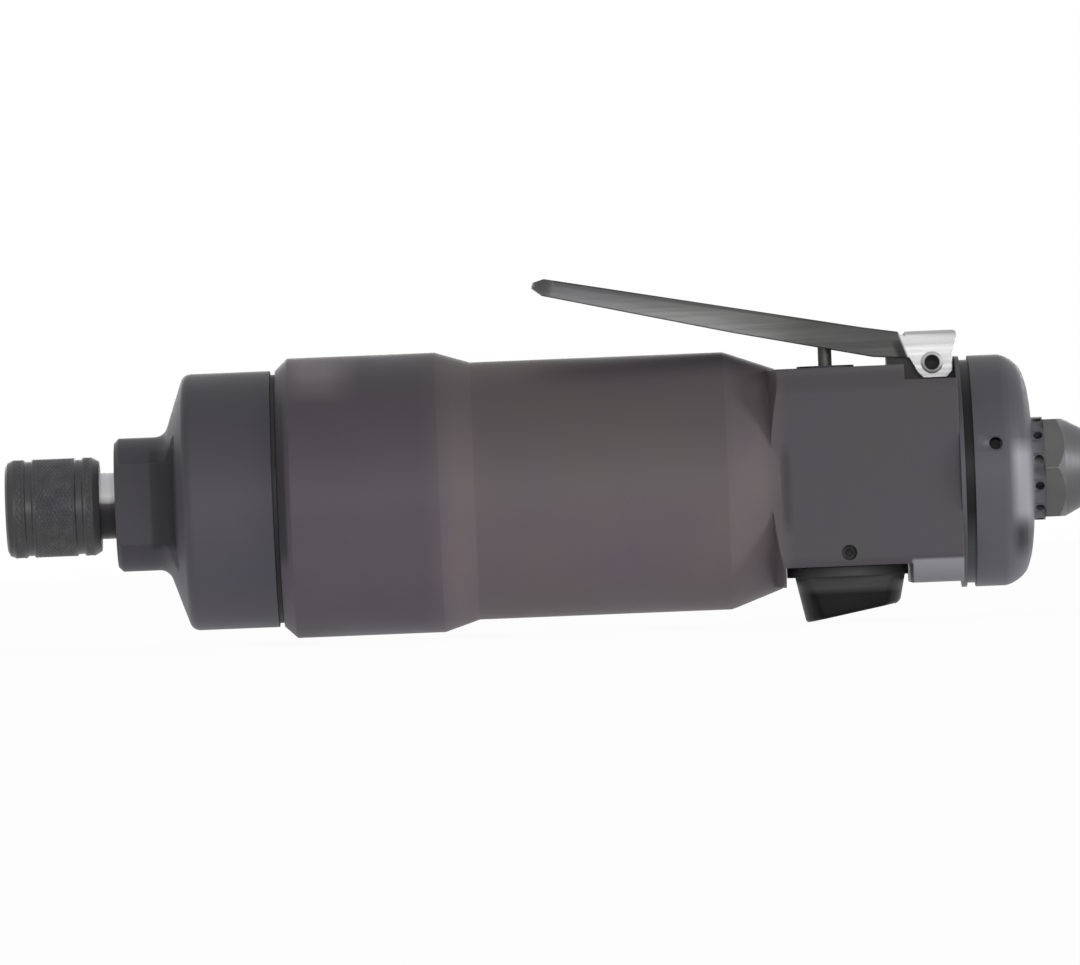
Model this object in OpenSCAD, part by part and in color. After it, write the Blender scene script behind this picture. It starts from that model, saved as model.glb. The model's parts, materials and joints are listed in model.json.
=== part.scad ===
// Straight air screwdriver with a rocking-dog impact mechanism.
// X runs along the tool axis towards the air inlet, Z is up, the throttle lever is on top.
// The origin is the centre of the air inlet's mouth. Stations are measured from the
// front face of the chuck sleeve towards the inlet, and placed() moves them to the origin.

/* [Chuck] */
// Length of the quick-change sleeve
sleeve_length = 16.4; // [16.2:0.1:18]
// Outer diameter of the sleeve
sleeve_d = 17.2; // [16.8:0.1:19]
// Chamfer on the sleeve's front edge
sleeve_front_chamfer = 1.2; // [0.4:0.1:1.3]
// Chamfer on the sleeve's rear edge
sleeve_rear_chamfer = 0.7; // [0.3:0.1:1.2]
// Travel of the sleeve when it is pulled forward
sleeve_travel = 2.8; // [2.6:0.1:3]
// Width across flats of the bit socket
socket_af = 6.35; // [6.3:0.05:6.5]
// Depth of the bit socket
socket_depth = 17.4; // [15:0.1:20]
// Diameter of the anvil inside the sleeve
nose_d = 11; // [10.8:0.1:11.2]
// Diameter of the anvil's neck behind the sleeve
neck_d = 11.6; // [11.5:0.1:12.4]
// Diameter of the steel ball that holds the bit
ball_d = 3; // [2.8:0.05:3.1]

/* [Hammer case] */
// Diameter of the nose collar
collar_d = 23.3; // [22.5:0.1:24.5]
// Length of the nose collar
collar_length = 7.1; // [6:0.1:8]
// Width across the two wrench flats on the collar
collar_flats = 18.6; // [18:0.1:20]
// Outer diameter of the hammer case
case_d = 44.8; // [44.4:0.1:46]
// Length of the case from the collar to the seam
case_length = 20.6; // [19:0.1:22]
// Wall of the threaded skirt, outside the hammer cage
skirt_wall = 1.5; // [1.4:0.05:1.6]
// Width of the seam between case and housing
seam_width = 0.9; // [0.6:0.1:1.2]
// Step from the case down to the threaded skirt that enters the housing
skirt_step = 1.4; // [1.3:0.05:1.5]
// Length of the threaded skirt
skirt_length = 13; // [10:0.5:15]

/* [Motor housing] */
// Height of the front shoulder above the hammer case
shoulder_rise = 2.05; // [1.6:0.05:2.6]
// Length of the front shoulder, up to its rear cone
shoulder_length = 28; // [26:0.1:30]
// Length of the cone behind the shoulder
shoulder_cone = 6.1; // [4:0.1:8]
// Chamfer on the shoulder's front edge, along the tool
shoulder_chamfer = 2.2; // [1.5:0.1:3.5]
// Diameter of the round grip
grip_d = 45; // [44.6:0.1:46]
// Length of the round grip
grip_length = 44.5; // [43.5:0.1:46]
// Length of the cone where the grip narrows to the handle
taper_length = 8.5; // [7.5:0.1:10]
// Width and height of the squarish handle
handle_side = 38; // [37.8:0.1:38.4]
// Corner radius of the handle
handle_corner = 5; // [4:0.1:6]
// Length of the handle
handle_length = 31.4; // [31:0.1:33]

/* [Rear end] */
// Diameter of the rear cap
cap_d = 40.4; // [39.8:0.1:41]
// Length of the rear cap's cylinder
cap_length = 7.4; // [7:0.1:8.4]
// Length of the dome on the rear cap
cap_dome = 5.6; // [5:0.1:6.2]
// Length of the collar behind the dome, with the exhaust holes
cap_collar = 2; // [1.8:0.1:2.6]
// Width across flats of the inlet bushing
inlet_af = 17; // [16.6:0.1:17.4]
// Length of the inlet bushing's hexagon
inlet_hex_length = 7; // [5.5:0.1:9]
// Diameter of the inlet's threaded hole
inlet_hole_d = 11.8; // [11.4:0.05:12]
// Depth of the inlet's threaded hole
inlet_hole_depth = 13; // [11:0.5:14]
// Number of exhaust holes round the cap's collar
exhaust_holes = 12; // [9:1:16]
// Diameter of an exhaust hole
exhaust_hole_d = 1.6; // [1:0.1:1.7]

/* [Throttle] */
// Distance from the lever pin's axis to the rear end of the handle
lever_pin_back = 3.9; // [3.7:0.1:4.2]
// Height of the lever pin above the tool axis
lever_pin_height = 19.2; // [19:0.1:19.4]
// Length of the lever ahead of its pin
lever_reach = 71; // [64:0.5:74]
// Angle between the lever at rest and the tool axis
lever_angle = 10.9; // [10.8:0.1:11.5]
// Width of the lever
lever_w = 13; // [12.8:0.1:15]
// Sheet thickness of the lever
lever_t = 1.4; // [1.2:0.1:1.5]
// Depth of the lever's sides at the tip
lever_tip_depth = 2.8; // [2.2:0.1:3]
// Depth of the lever's sides in the middle
lever_mid_depth = 4.2; // [3.6:0.1:4.3]
// Depth of the lever's sides near the pin
lever_root_depth = 4.7; // [4.4:0.1:4.8]
// Diameter of the lever pin
lever_pin_d = 3; // [2.8:0.1:3.2]
// Distance from the lever pin to the plunger
plunger_ahead = 18.5; // [18:0.1:19]
// Diameter of the plunger
plunger_d = 2.4; // [2.2:0.1:2.6]

/* [Reverse valve] */
// Distance from the reverse valve's axis to the rear end of the handle
reverse_back = 19.9; // [19.6:0.1:20.3]
// Diameter of the knob's flange
knob_flange_d = 21.2; // [20.6:0.1:21.4]
// Depth of the pocket milled for the knob
knob_pocket = 3.4; // [3.2:0.1:3.6]
// Height of the knob below its flange, on its deep side
knob_deep = 7.9; // [7.2:0.1:8.2]
// Height of the knob below its flange, on its shallow side
knob_shallow = 5; // [4.4:0.1:6]
// Diameter of the valve spool
spool_d = 11; // [10.8:0.1:11.2]

/* [Motor] */
// Step in the housing from the hammer cage down to the cylinder liner
liner_step = 0.5; // [0.4:0.05:0.6]
// Bore of the cylinder liner
liner_bore_d = 31; // [30.8:0.1:31.2]
// Distance of the liner's bore from the tool axis
liner_offset = 1.5; // [1.3:0.05:1.5]
// Length of the rotor and its liner
rotor_length = 30; // [28:0.5:31]
// Diameter of the rotor
rotor_d = 27.4; // [27:0.1:27.5]
// Diameter of the rotor's shaft in the bearings
shaft_d = 7; // [6.8:0.1:7.2]
// Number of vanes
vane_count = 5; // [4:1:6]
// Thickness of a vane
vane_t = 2; // [1.6:0.1:2.2]
// Height of a vane in its slot
vane_h = 6.5; // [6:0.1:7]

/* [Impact mechanism] */
// Gap between the hammer cage and the case
cage_gap = 0.6; // [0.5:0.05:0.8]
// Length of the cage's window
cage_window = 24.6; // [23:0.2:25]
// Thickness of the cage's front wall
cage_wall = 4; // [3.6:0.1:4.4]
// Diameter over the anvil's two lugs
lug_d = 19.2; // [18.4:0.1:19.2]
// Width of an anvil lug
lug_w = 6; // [5:0.1:6]
// Diameter of the anvil's journal in the cage
journal_d = 20; // [19.6:0.1:20.2]
// Distance from the tool axis to a dog's pin
dog_pin_radius = 14; // [13.8:0.1:14.2]
// Diameter of a dog's pin
dog_pin_d = 4; // [3.8:0.1:4.2]

/* [Hidden] */
$fn = 72;
arc_steps = 6;

// Diameters that follow the case
skirt_d = case_d - 2 * skirt_step;
case_bore_d = skirt_d - 2 * skirt_wall;
shoulder_d = case_d + 2 * shoulder_rise;
liner_d = case_bore_d - 2 * liner_step;
cage_d = case_bore_d - 2 * cage_gap;

// Clearances and overruns
over = 1;
running = 0.05;
slip = 0.02;
face_gap = 0.1;
free_gap = 0.3;

// Angles
hex_sides = 6;
hex_half = 30;
quarter_turn = 90;
half_turn = 180;
full_turn = 360;

// Stations along the tool, from the sleeve's front face
neck_length = 2.8;
collar_front = sleeve_length + neck_length;
case_front = collar_front + collar_length;
case_rear = case_front + case_length;
housing_front = case_rear + seam_width;
shoulder_end = housing_front + shoulder_length;
grip_front = shoulder_end + shoulder_cone;
grip_end = grip_front + grip_length;
handle_front = grip_end + taper_length;
handle_end = handle_front + handle_length;
cap_cylinder_end = handle_end + cap_length;
cap_end = cap_cylinder_end + cap_dome;
cap_collar_end = cap_end + cap_collar;
tool_length = cap_collar_end + inlet_hex_length;

// Chuck
anvil_face = 1.4;
sleeve_skirt = 1;
sleeve_stop = 1.3;
sleeve_collar_front = 7.9;
sleeve_wall = 1.3;
sleeve_relief = 1.1;
ball_protrusion_r = 2.5;
ball_station = 9.5;
ball_lift = 0.9;
grip_groove_w = 0.9;
grip_groove_depth = 0.35;
grip_groove_places = [3.6, 12.4];
retainer_w = 1.1;
retainer_back = 0.5;
retainer_groove = 0.6;
nose_shoulder = sleeve_length - sleeve_skirt;
ball_center_r = ball_protrusion_r + ball_d / 2;
ramp_slope = ball_lift / sleeve_travel;
ramp_front = ball_station - ball_d / 2 * sin(atan(ramp_slope)) + running / ramp_slope;
ramp_length = sleeve_relief / ramp_slope;
retainer_front = anvil_face + retainer_back;
retainer_d = sleeve_d - 2 * sleeve_wall - 2 * running;

// Hammer case
case_fillet = 2.4;
case_fillet_end = 68;
case_round = 1.8;
case_nose = 6.7;
collar_edge = 0.8;
flats_runout = 4.4;
flats_end = 0.6;
bushing_d = 16;
bushing_flange_d = 22;
bushing_flange = 1.4;
seal_w = 1.2;
seal_lip = 0.5;
case_seal_d = case_d - 1.4;
cavity_front = case_front + case_nose;
skirt_end = housing_front + skirt_length;
bushing_front = collar_front + seal_lip + seal_w;
bushing_rear = cavity_front + bushing_flange;

// Impact mechanism
cage_front = bushing_rear + free_gap;
window_front = cage_front + cage_wall;
window_rear = window_front + cage_window;
cage_rear_wall = 5;
cage_rear = window_rear + cage_rear_wall;
cage_bore_d = lug_d + 0.8;
window_w = 21.2;
hub_d = 20;
hub_length = 5;
hub_end = cage_rear + hub_length;
spline_af = 6;
core_d = 12;
tail_d = 9;
tail_length = 3.4;
dog_d = 35.2;
dog_arc_d = lug_d + 1.4;
dog_top_w = 19;
dog_inner_w = 14.4;
dog_top = 17;
dog_inner = 7;
pin_sink = 0.5;

// Motor
bearing_d = 19;
bearing_w = 6;
bearing_ball_d = 3.2;
bearing_balls = 8;
bearing_ring = 1.9;
bearing_pitch_r = (bearing_d + shaft_d) / 4;
end_plate_wall = 2.4;
clamp_w = 4;
clamp_hub_gap = 4.5;
clamp_bore_d = 24;
spanner_hole_d = 3;
spanner_holes_r = 15.6;
motor_front = hub_end + clamp_hub_gap;
rotor_front = motor_front + bearing_w + end_plate_wall;
rotor_rear = rotor_front + rotor_length;
motor_rear = rotor_rear + end_plate_wall + bearing_w;
shaft_hole_d = 8.4;
dowel_d = 2;
dowel_r = 17.2;
dowel_sink = 2.4;
port_d = 3;
plate_port_r = 13.3;
exhaust_slot_d = 2.4;
exhaust_slots = 5;
exhaust_slot_pitch = 4.6;
exhaust_groove_depth = 1.3;
exhaust_recess = 2;
slot_floor_gap = 0.3;
vane_tip_gap = 0.15;

// Throttle lever and its hinge, measured from the pin
lever_x = handle_end - lever_pin_back;
plunger_x = lever_x - plunger_ahead;
lever_top = 4.25;
lever_root = 10;
lever_mid = 35;
lever_tip_round = 1.9;
lever_bend = 5.8;
ear_neck = 3.9;
ear_neck_rise = 1;
ear_round = 2.6;
ear_top = 5.6;
ear_top_front = 5.2;
ear_top_back = 4.7;
ear_back = 3.5;
ear_back_low = 1.5;
ear_back_high = 1.6;
ear_foot = 1.5;
ear_corner = 1;
ear_gap = 0.3;
lug_round = 2.7;
lug_front = 7.8;
lug_rise = 2;
hinge_pocket_front = 5.2;
pin_head_d = 3.8;
pin_head = 0.3;

// Throttle valve
passage_d = 11.6;
passage_ahead = 6.4;
chamber_d = 13;
seat_behind = 6.4;
seat_w = 2.4;
seat_hole_d = 7;
valve_d = 10;
valve_head = 1.8;
facing_d = 9.4;
facing_t = 0.8;
stem_d = 3;
stem_tip = 1.6;
stem_gap = 1.3;
valve_spring_wire = 0.9;
valve_spring_d = 8.4;
valve_spring_turns = 3.5;
plunger_collar_d = 3.6;
plunger_collar = 1;
plunger_rise = 6.6;
plunger_bush_d = 7;
plunger_bush_flange_d = 10;
plunger_boss = 0.4;
plunger_bush_bottom = 8;
plunger_seal_z = 13;
seal_wire = 1.2;
seat_station = plunger_x + seat_behind;
seat_rear = seat_station + seat_w;
valve_front = seat_rear + running;
valve_rear = valve_front + facing_t + valve_head;
valve_spring_length = 4.4;
inlet_thread_front = valve_rear + valve_spring_length;
lever_underside = plunger_ahead * tan(lever_angle) + (lever_top - lever_t) / cos(lever_angle);
plunger_top = lever_pin_height + lever_underside - face_gap
    - plunger_d / 2 * (1 / cos(lever_angle) - 1);
plunger_bottom = stem_d / 2 + stem_gap;

// Reverse valve
reverse_x = handle_end - reverse_back;
knob_floor = -handle_side / 2 + knob_pocket;
knob_flange = 1.7;
knob_gap = 0.15;
knob_body_d = 19.4;
knob_base_d = 15.8;
knob_grip_w = 12.6;
knob_shift = 0.4;
pocket_end_gap = 0.4;
reverse_bush_d = 14.6;
spool_top = -7;
spool_bore_d = 5.6;
spool_floor = 3.6;
port_drop = 2;
detent_ball_d = 2.2;
detent_sink = 0.6;
detent_drop = 6.3;
detent_hole_d = 2.6;
detent_spring_wire = 0.4;
detent_spring_d = 2.2;
detent_spring_length = 4.4;
detent_spring_turns = 4;
detent_screw_length = 4;
spool_seal_wire = 1;
seal_drop = 4.2;
knob_screw_d = 3;
knob_screw_length = 9;
screw_head_d = 5.4;
screw_head = 1.8;
screw_head_sink = 2.4;
port_z = spool_top - port_drop;
detent_z = spool_top - detent_drop;
seal_z = spool_top - seal_drop;
detent_r = spool_d / 2 - detent_sink + detent_ball_d / 2;
detent_spring_front = detent_r + detent_ball_d / 2 + running;
detent_screw_front = detent_spring_front + detent_spring_length + face_gap;
port_turn = 45;

// Rear end
cap_dome_shares = [[0, 0], [0.18, 0.02], [0.35, 0.06], [0.5, 0.11], [0.63, 0.17], [0.74, 0.25],
                   [0.82, 0.36], [0.89, 0.49], [0.94, 0.65], [0.98, 0.83], [1, 1]];
cap_collar_d = 18;
cap_groove = 1.6;
cap_groove_depth = 1.6;
cap_groove_back = 0.8;
cap_core_length = 2.4;
cap_ports = 8;
cap_port_d = 3;
cap_face = 2.6;
cap_hollow_d = 33;
cap_hollow_core_d = 18.4;
spanner_blind_d = 2.3;
spanner_blind = 2.2;
spanner_blind_back = 6.2;
spanner_blind_count = 2;
spanner_turn = 13.4;
inlet_thread_d = 16;
inlet_bore_d = 7.2;
inlet_chamfer = 3.4;
inlet_chamfer_depth = 1.8;
inlet_corner = 1.6;
inlet_neck_wall = 1;
inlet_seal_wire = 1.6;
exhaust_turn = 20;
exhaust_channel_d = 5;
exhaust_channel_y = 12.6;
exhaust_channel_z = 2;
screen_d = 10.6;
screen_t = 0.8;
screen_hole_d = 1.1;
screen_pitch = 1.9;

// Forms of the springs
coil_rings = 8;
coil_sides = 6;

// General shapes
module placed() translate([-tool_length, 0, 0]) children();

module turned(points) rotate([0, quarter_turn, 0]) rotate_extrude() polygon(points);

module rod(from, to, d) translate([from, 0, 0]) rotate([0, quarter_turn, 0])
    cylinder(h = to - from, d = d);

module ring(from, to, outer, inner) difference() {
    rod(from, to, outer);
    rod(from - over, to + over, inner);
}

module hexagon(from, to, af) translate([from, 0, 0]) rotate([0, quarter_turn, 0])
    cylinder(h = to - from, d = af / cos(hex_half), $fn = hex_sides);

module post(from, to, d) translate([0, 0, from]) cylinder(h = to - from, d = d);

module o_ring(centre_r, wire) rotate_extrude() translate([centre_r, 0]) circle(d = wire);

module rounded_square(side, corner) {
    square([side, side - 2 * corner], center = true);
    square([side - 2 * corner, side], center = true);
    for (x = [-1, 1], y = [-1, 1]) translate([x, y] * (side / 2 - corner)) circle(r = corner);
}

// Outline points are [radius, station]
function arc(r_mid, s_mid, radius, from, to) =
    [for (i = [0:arc_steps])
        let (a = from + (to - from) * i / arc_steps) [r_mid + radius * cos(a), s_mid + radius * sin(a)]];

// A coil spring along Z from 0 to length, as one closed tube
function coil_centre(i, radius, pitch) =
    let (a = full_turn * i / coil_rings) [radius * cos(a), radius * sin(a), pitch * i / coil_rings];

function coil_ring(i, radius, pitch, wire) =
    let (a = full_turn * i / coil_rings)
    [for (k = [0:coil_sides - 1])
        let (b = full_turn * k / coil_sides, r = radius + wire / 2 * cos(b))
        [r * cos(a), r * sin(a), pitch * i / coil_rings + wire / 2 * sin(b)]];

module coil(length, outer, wire, turns) {
    radius = (outer - wire) / 2;
    pitch = (length - wire) / turns;
    last = turns * coil_rings;
    points = [for (i = [0:last]) each coil_ring(i, radius, pitch, wire)];
    sides = [for (i = [0:last - 1], k = [0:coil_sides - 1])
        let (a = i * coil_sides + k, b = i * coil_sides + (k + 1) % coil_sides)
        each [[a, b, a + coil_sides], [b, b + coil_sides, a + coil_sides]]];
    front = [for (k = [1:coil_sides - 2]) [0, k + 1, k]];
    base = last * coil_sides;
    back = [for (k = [1:coil_sides - 2]) [base, base + k, base + k + 1]];
    gaps = [for (i = [0:last - coil_rings], j = [i + coil_rings:last])
        norm(coil_centre(i, radius, pitch) - coil_centre(j, radius, pitch)) - wire];
    echo(least_gap_between_curls = min(gaps));
    translate([0, 0, wire / 2]) polyhedron(points, concat(front, sides, back));
}

// Hammer case and its seals
module hammer_case() color([0.3, 0.29, 0.3]) placed() difference() {
    turned(concat(
        [[0, collar_front], [collar_d / 2 - collar_edge, collar_front],
         [collar_d / 2, collar_front + collar_edge]],
        [for (i = [0:arc_steps]) let (a = case_fillet_end * i / arc_steps)
            [collar_d / 2 + case_fillet * (1 - cos(a)), case_front + case_fillet * sin(a)]],
        arc(case_d / 2 - case_round, case_front + case_nose, case_round, -case_fillet_end, 0),
        [[case_d / 2, case_rear], [case_seal_d / 2 - case_edge_step, case_rear],
         [case_seal_d / 2 - case_edge_step, housing_front], [skirt_d / 2, housing_front],
         [skirt_d / 2, skirt_end], [0, skirt_end]]));
    rod(cavity_front, skirt_end + over, case_bore_d);
    rod(collar_front + seal_lip, cavity_front + over, bushing_d + 2 * slip);
    rod(collar_front - over, collar_front + seal_lip + over, neck_d + 2 * free_gap);
    for (side = [-1, 1]) wrench_flat(side);
}
case_edge_step = 0.5;

// A flat milled with a round cutter, which leaves a hollow at its rear end
module wrench_flat(side) {
    flat_end = case_front - flats_end;
    depth = case_d / 2;
    translate([collar_front - over, side * (collar_flats + depth) / 2 - depth / 2, -depth])
        cube([flat_end - collar_front + over, depth, 2 * depth]);
    translate([flat_end, side * (collar_flats / 2 + flats_runout), 0])
        post(-depth, depth, 2 * flats_runout);
}

module case_seal() color([0.08, 0.08, 0.08]) placed()
    ring(case_rear + slip, housing_front - slip, case_seal_d,
         case_seal_d - 2 * case_edge_step + 2 * slip);

module anvil_bushing() color([0.72, 0.55, 0.3]) placed() difference() {
    union() {
        rod(bushing_front, bushing_rear, bushing_d);
        rod(cavity_front, bushing_rear, bushing_flange_d);
    }
    rod(bushing_front - over, bushing_rear + over, neck_d + 2 * running);
}

module anvil_seal() color([0.1, 0.1, 0.1]) placed()
    ring(collar_front + seal_lip, bushing_front, bushing_d, neck_d + 2 * running);

// Motor housing, one piece from the shoulder to the rear end of the handle
module motor_housing() color([0.35, 0.32, 0.32]) placed() difference() {
    union() {
        housing_round();
        housing_handle();
        hinge_lug();
    }
    housing_bores();
    throttle_bores();
    reverse_bores();
    exhaust_bores();
    hinge_cuts();
}

taper_edge = 1;
taper_edge_depth = 0.3;
handle_neck = 0.25;
handle_blend = 6.4;
handle_blend_front = 1.7;
handle_blend_back = 0.3;

module housing_round() turned([
    [0, housing_front], [case_d / 2, housing_front],
    [shoulder_d / 2, housing_front + shoulder_chamfer], [shoulder_d / 2, shoulder_end],
    [grip_d / 2, grip_front], [grip_d / 2, grip_end - taper_edge / 2],
    [grip_d / 2 - taper_edge_depth, grip_end + taper_edge / 2],
    [handle_side / 2 + handle_neck, handle_front], [0, handle_front]]);

module housing_handle() intersection() {
    translate([grip_end, 0, 0]) rotate([quarter_turn, 0, quarter_turn])
        linear_extrude(handle_end - grip_end) rounded_square(handle_side, handle_corner);
    turned([[0, grip_end], [handle_side / 2, grip_end],
            [handle_side / 2, handle_front - handle_blend_front],
            [handle_side / 2 + handle_blend, handle_front + handle_blend_back],
            [handle_side / 2 + handle_blend, handle_end], [0, handle_end]]);
}

lug_width = lever_w - 2 * lever_t - 2 * ear_gap;

module hinge_lug() translate([lever_x, 0, lever_pin_height]) {
    rotate([quarter_turn, 0, 0]) cylinder(h = lug_width, d = 2 * lug_round, center = true);
    translate([-lug_front, -lug_width / 2, -ear_round]) cube([lug_front, lug_width, ear_round + lug_rise]);
}

module housing_bores() {
    rod(housing_front - over, skirt_end + face_gap, skirt_d + 2 * slip);
    rod(skirt_end - over, motor_front, case_bore_d);
    rod(motor_front - over, motor_rear, liner_d + 2 * slip);
    translate([0, 0, -dowel_r]) rod(motor_rear - over, motor_rear + dowel_sink + face_gap,
                                   dowel_d + 2 * slip);
}

module throttle_bores() {
    rod(plunger_x - passage_ahead, seat_station + over, passage_d);
    rod(seat_station, inlet_thread_front + over, chamber_d);
    rod(inlet_thread_front - face_gap, handle_end + over, inlet_thread_d + 2 * slip);
    rod(handle_end - inlet_seal_wire - face_gap, handle_end + over,
        inlet_thread_d + 2 * inlet_seal_wire + 2 * face_gap);
    translate([plunger_x, 0, 0]) post(0, handle_side, plunger_bush_d + 2 * slip);
}

// The two supply holes slant from the rear end plate to the reverse valve's bushing
module supply_hole(side) {
    end_y = reverse_bush_d / 2 * sin(port_turn);
    end_r = norm([end_y, port_z]);
    end_x = reverse_x - reverse_bush_d / 2 * cos(port_turn);
    slant = atan((plate_port_r - end_r) / (end_x - motor_rear));
    turn = atan(end_y / port_z);
    rotate([side * turn, 0, 0]) translate([motor_rear, 0, -plate_port_r])
        rotate([0, quarter_turn - slant, 0])
            translate([0, 0, -over]) cylinder(h = end_x - motor_rear + 3 * over, d = port_d);
}

module reverse_bores() {
    pocket = knob_flange_d + 2 * pocket_end_gap;
    translate([reverse_x - pocket / 2, -handle_side, -handle_side])
        cube([pocket, 2 * handle_side, handle_side + knob_floor]);
    translate([reverse_x, 0, 0]) post(knob_floor - over, spool_top, reverse_bush_d + 2 * slip);
    translate([reverse_x, 0, 0]) post(spool_top - over, 0, spool_bore_d);
    for (side = [-1, 1]) supply_hole(side);
    translate([reverse_x, 0, detent_z]) rotate([quarter_turn, 0, 0])
        cylinder(h = handle_side, d = detent_hole_d + 2 * slip);
}

module exhaust_bores() {
    groove_d = liner_d + 2 * exhaust_groove_depth;
    groove_front = rotor_front + (rotor_length - exhaust_slots * exhaust_slot_pitch) / 2;
    intersection() {
        rod(groove_front, motor_rear + exhaust_recess, groove_d);
        translate([groove_front, -groove_d, exhaust_channel_z])
            cube([motor_rear + exhaust_recess, 2 * groove_d, groove_d]);
        difference() {
            rod(groove_front, motor_rear + exhaust_recess, groove_d);
            rod(motor_rear - over, motor_rear + exhaust_recess + over,
                2 * exhaust_channel_y - exhaust_channel_d);
        }
    }
    for (side = [-1, 1]) translate([0, side * exhaust_channel_y, exhaust_channel_z])
        rod(motor_rear - over, handle_end + over, exhaust_channel_d);
}

// Steps beside the hinge lug, open to the sides, in which the lever's ears turn
module hinge_cuts() {
    floor_z = lever_pin_height - ear_round - ear_gap;
    for (side = [-1, 1]) translate([lever_x - hinge_pocket_front, 0, floor_z])
        translate([0, side * (lug_width + handle_side) / 2 - handle_side / 2, 0])
            cube([handle_end - lever_x + hinge_pocket_front + over, handle_side, handle_side]);
    translate([lever_x, 0, lever_pin_height]) rotate([quarter_turn, 0, 0])
        cylinder(h = handle_side, d = lever_pin_d + 2 * slip, center = true);
}

// Air motor
module motor_clamp_ring() color([0.45, 0.45, 0.47]) placed() difference() {
    ring(motor_front - clamp_w, motor_front, case_bore_d - 2 * slip, clamp_bore_d);
    for (side = [-1, 1]) translate([0, side * spanner_holes_r, 0])
        rod(motor_front - clamp_w - over, motor_front + over, spanner_hole_d);
}

module bearing_outer(from) difference() {
    ring(from, from + bearing_w, bearing_d, bearing_d - 2 * bearing_ring);
    bearing_track(from);
}

module bearing_inner(from) difference() {
    ring(from, from + bearing_w, shaft_d + 2 * bearing_ring, shaft_d + 2 * slip);
    bearing_track(from);
}

module bearing_track(from) translate([from + bearing_w / 2, 0, 0]) rotate([0, quarter_turn, 0])
    o_ring(bearing_pitch_r, bearing_ball_d + 2 * running);

module bearing_ball_ring(from) for (i = [0:bearing_balls - 1])
    rotate([full_turn * i / bearing_balls, 0, 0])
        translate([from + bearing_w / 2, 0, bearing_pitch_r]) sphere(d = bearing_ball_d);

front_bearing = motor_front;
rear_bearing = motor_rear - bearing_w;

module front_bearing_outer() color([0.7, 0.7, 0.72]) placed() bearing_outer(front_bearing);
module front_bearing_inner() color([0.7, 0.7, 0.72]) placed() bearing_inner(front_bearing);
module front_bearing_balls() color([0.8, 0.8, 0.82]) placed() bearing_ball_ring(front_bearing);
module rear_bearing_outer() color([0.7, 0.7, 0.72]) placed() bearing_outer(rear_bearing);
module rear_bearing_inner() color([0.7, 0.7, 0.72]) placed() bearing_inner(rear_bearing);
module rear_bearing_balls() color([0.8, 0.8, 0.82]) placed() bearing_ball_ring(rear_bearing);

module front_end_plate() color([0.55, 0.55, 0.57]) placed() difference() {
    rod(motor_front, rotor_front, liner_d);
    rod(motor_front - over, motor_front + bearing_w, bearing_d + 2 * slip);
    rod(motor_front, rotor_front + over, shaft_hole_d);
    translate([0, 0, -dowel_r]) rod(rotor_front - dowel_sink, rotor_front + over,
                                   dowel_d + 2 * slip);
}

module rear_end_plate() color([0.55, 0.55, 0.57]) placed() difference() {
    rod(rotor_rear, motor_rear, liner_d);
    rod(motor_rear - bearing_w, motor_rear + over, bearing_d + 2 * slip);
    rod(rotor_rear - over, motor_rear, shaft_hole_d);
    translate([0, 0, -dowel_r]) rod(rotor_rear - over, motor_rear + over, dowel_d + 2 * slip);
    for (side = [-1, 1]) rotate([side * plate_port_turn, 0, 0]) translate([0, 0, -plate_port_r])
        rod(rotor_rear - over, motor_rear + over, port_d);
}
plate_port_turn = atan(reverse_bush_d / 2 * sin(port_turn) / port_z);

module cylinder_liner() color([0.6, 0.6, 0.62]) placed() difference() {
    rod(rotor_front, rotor_rear, liner_d);
    translate([0, 0, liner_offset]) rod(rotor_front - over, rotor_rear + over, liner_bore_d);
    translate([0, 0, -dowel_r]) rod(rotor_front - over, rotor_rear + over, dowel_d + 2 * slip);
    for (i = [0:exhaust_slots - 1]) translate([
        (rotor_front + rotor_rear) / 2 + (i - (exhaust_slots - 1) / 2) * exhaust_slot_pitch, 0, 0])
            post(0, liner_d, exhaust_slot_d);
}

module locating_dowel() color([0.75, 0.75, 0.77]) placed() translate([0, 0, -dowel_r])
    rod(rotor_front - dowel_sink + face_gap, motor_rear + dowel_sink, dowel_d);

vane_proud = 0.05;
vane_root = rotor_d / 2 - vane_h + vane_proud;

module rotor() color([0.62, 0.62, 0.64]) placed() difference() {
    union() {
        rod(rotor_front + face_gap, rotor_rear - face_gap, rotor_d);
        rod(hub_end + free_gap, motor_rear - face_gap, shaft_d);
        hexagon(cage_rear + free_gap, hub_end + 2 * free_gap, spline_af);
    }
    for (i = [0:vane_count - 1]) rotate([full_turn * i / vane_count, 0, 0])
        translate([rotor_front - over, -vane_t / 2 - running, vane_root - slot_floor_gap])
            cube([rotor_length + 2 * over, vane_t + 2 * running, rotor_d]);
}

module rotor_vanes() color([0.42, 0.25, 0.12]) placed() for (i = [0:vane_count - 1])
    rotate([full_turn * i / vane_count, 0, 0])
        translate([rotor_front + vane_tip_gap, -vane_t / 2, vane_root])
            cube([rotor_length - 2 * vane_tip_gap, vane_t, vane_h]);

// Impact mechanism
module hammer_cage() color([0.4, 0.4, 0.42]) placed() difference() {
    union() {
        rod(cage_front, cage_rear, cage_d);
        rod(cage_rear - over, hub_end, hub_d);
    }
    rod(cage_front - over, window_front + over, journal_d + 2 * running);
    rod(window_front, window_rear, cage_bore_d);
    rod(window_rear - over, window_rear + tail_length + free_gap, tail_d + 2 * running);
    hexagon(cage_rear, hub_end + over, spline_af + 2 * running);
    translate([window_front, -window_w / 2, -cage_d])
        cube([cage_window, window_w, 2 * cage_d]);
    for (side = [-1, 1]) translate([0, 0, side * dog_pin_radius])
        rod(cage_front + pin_sink, cage_rear + over, dog_pin_d + 2 * slip);
}

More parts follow.
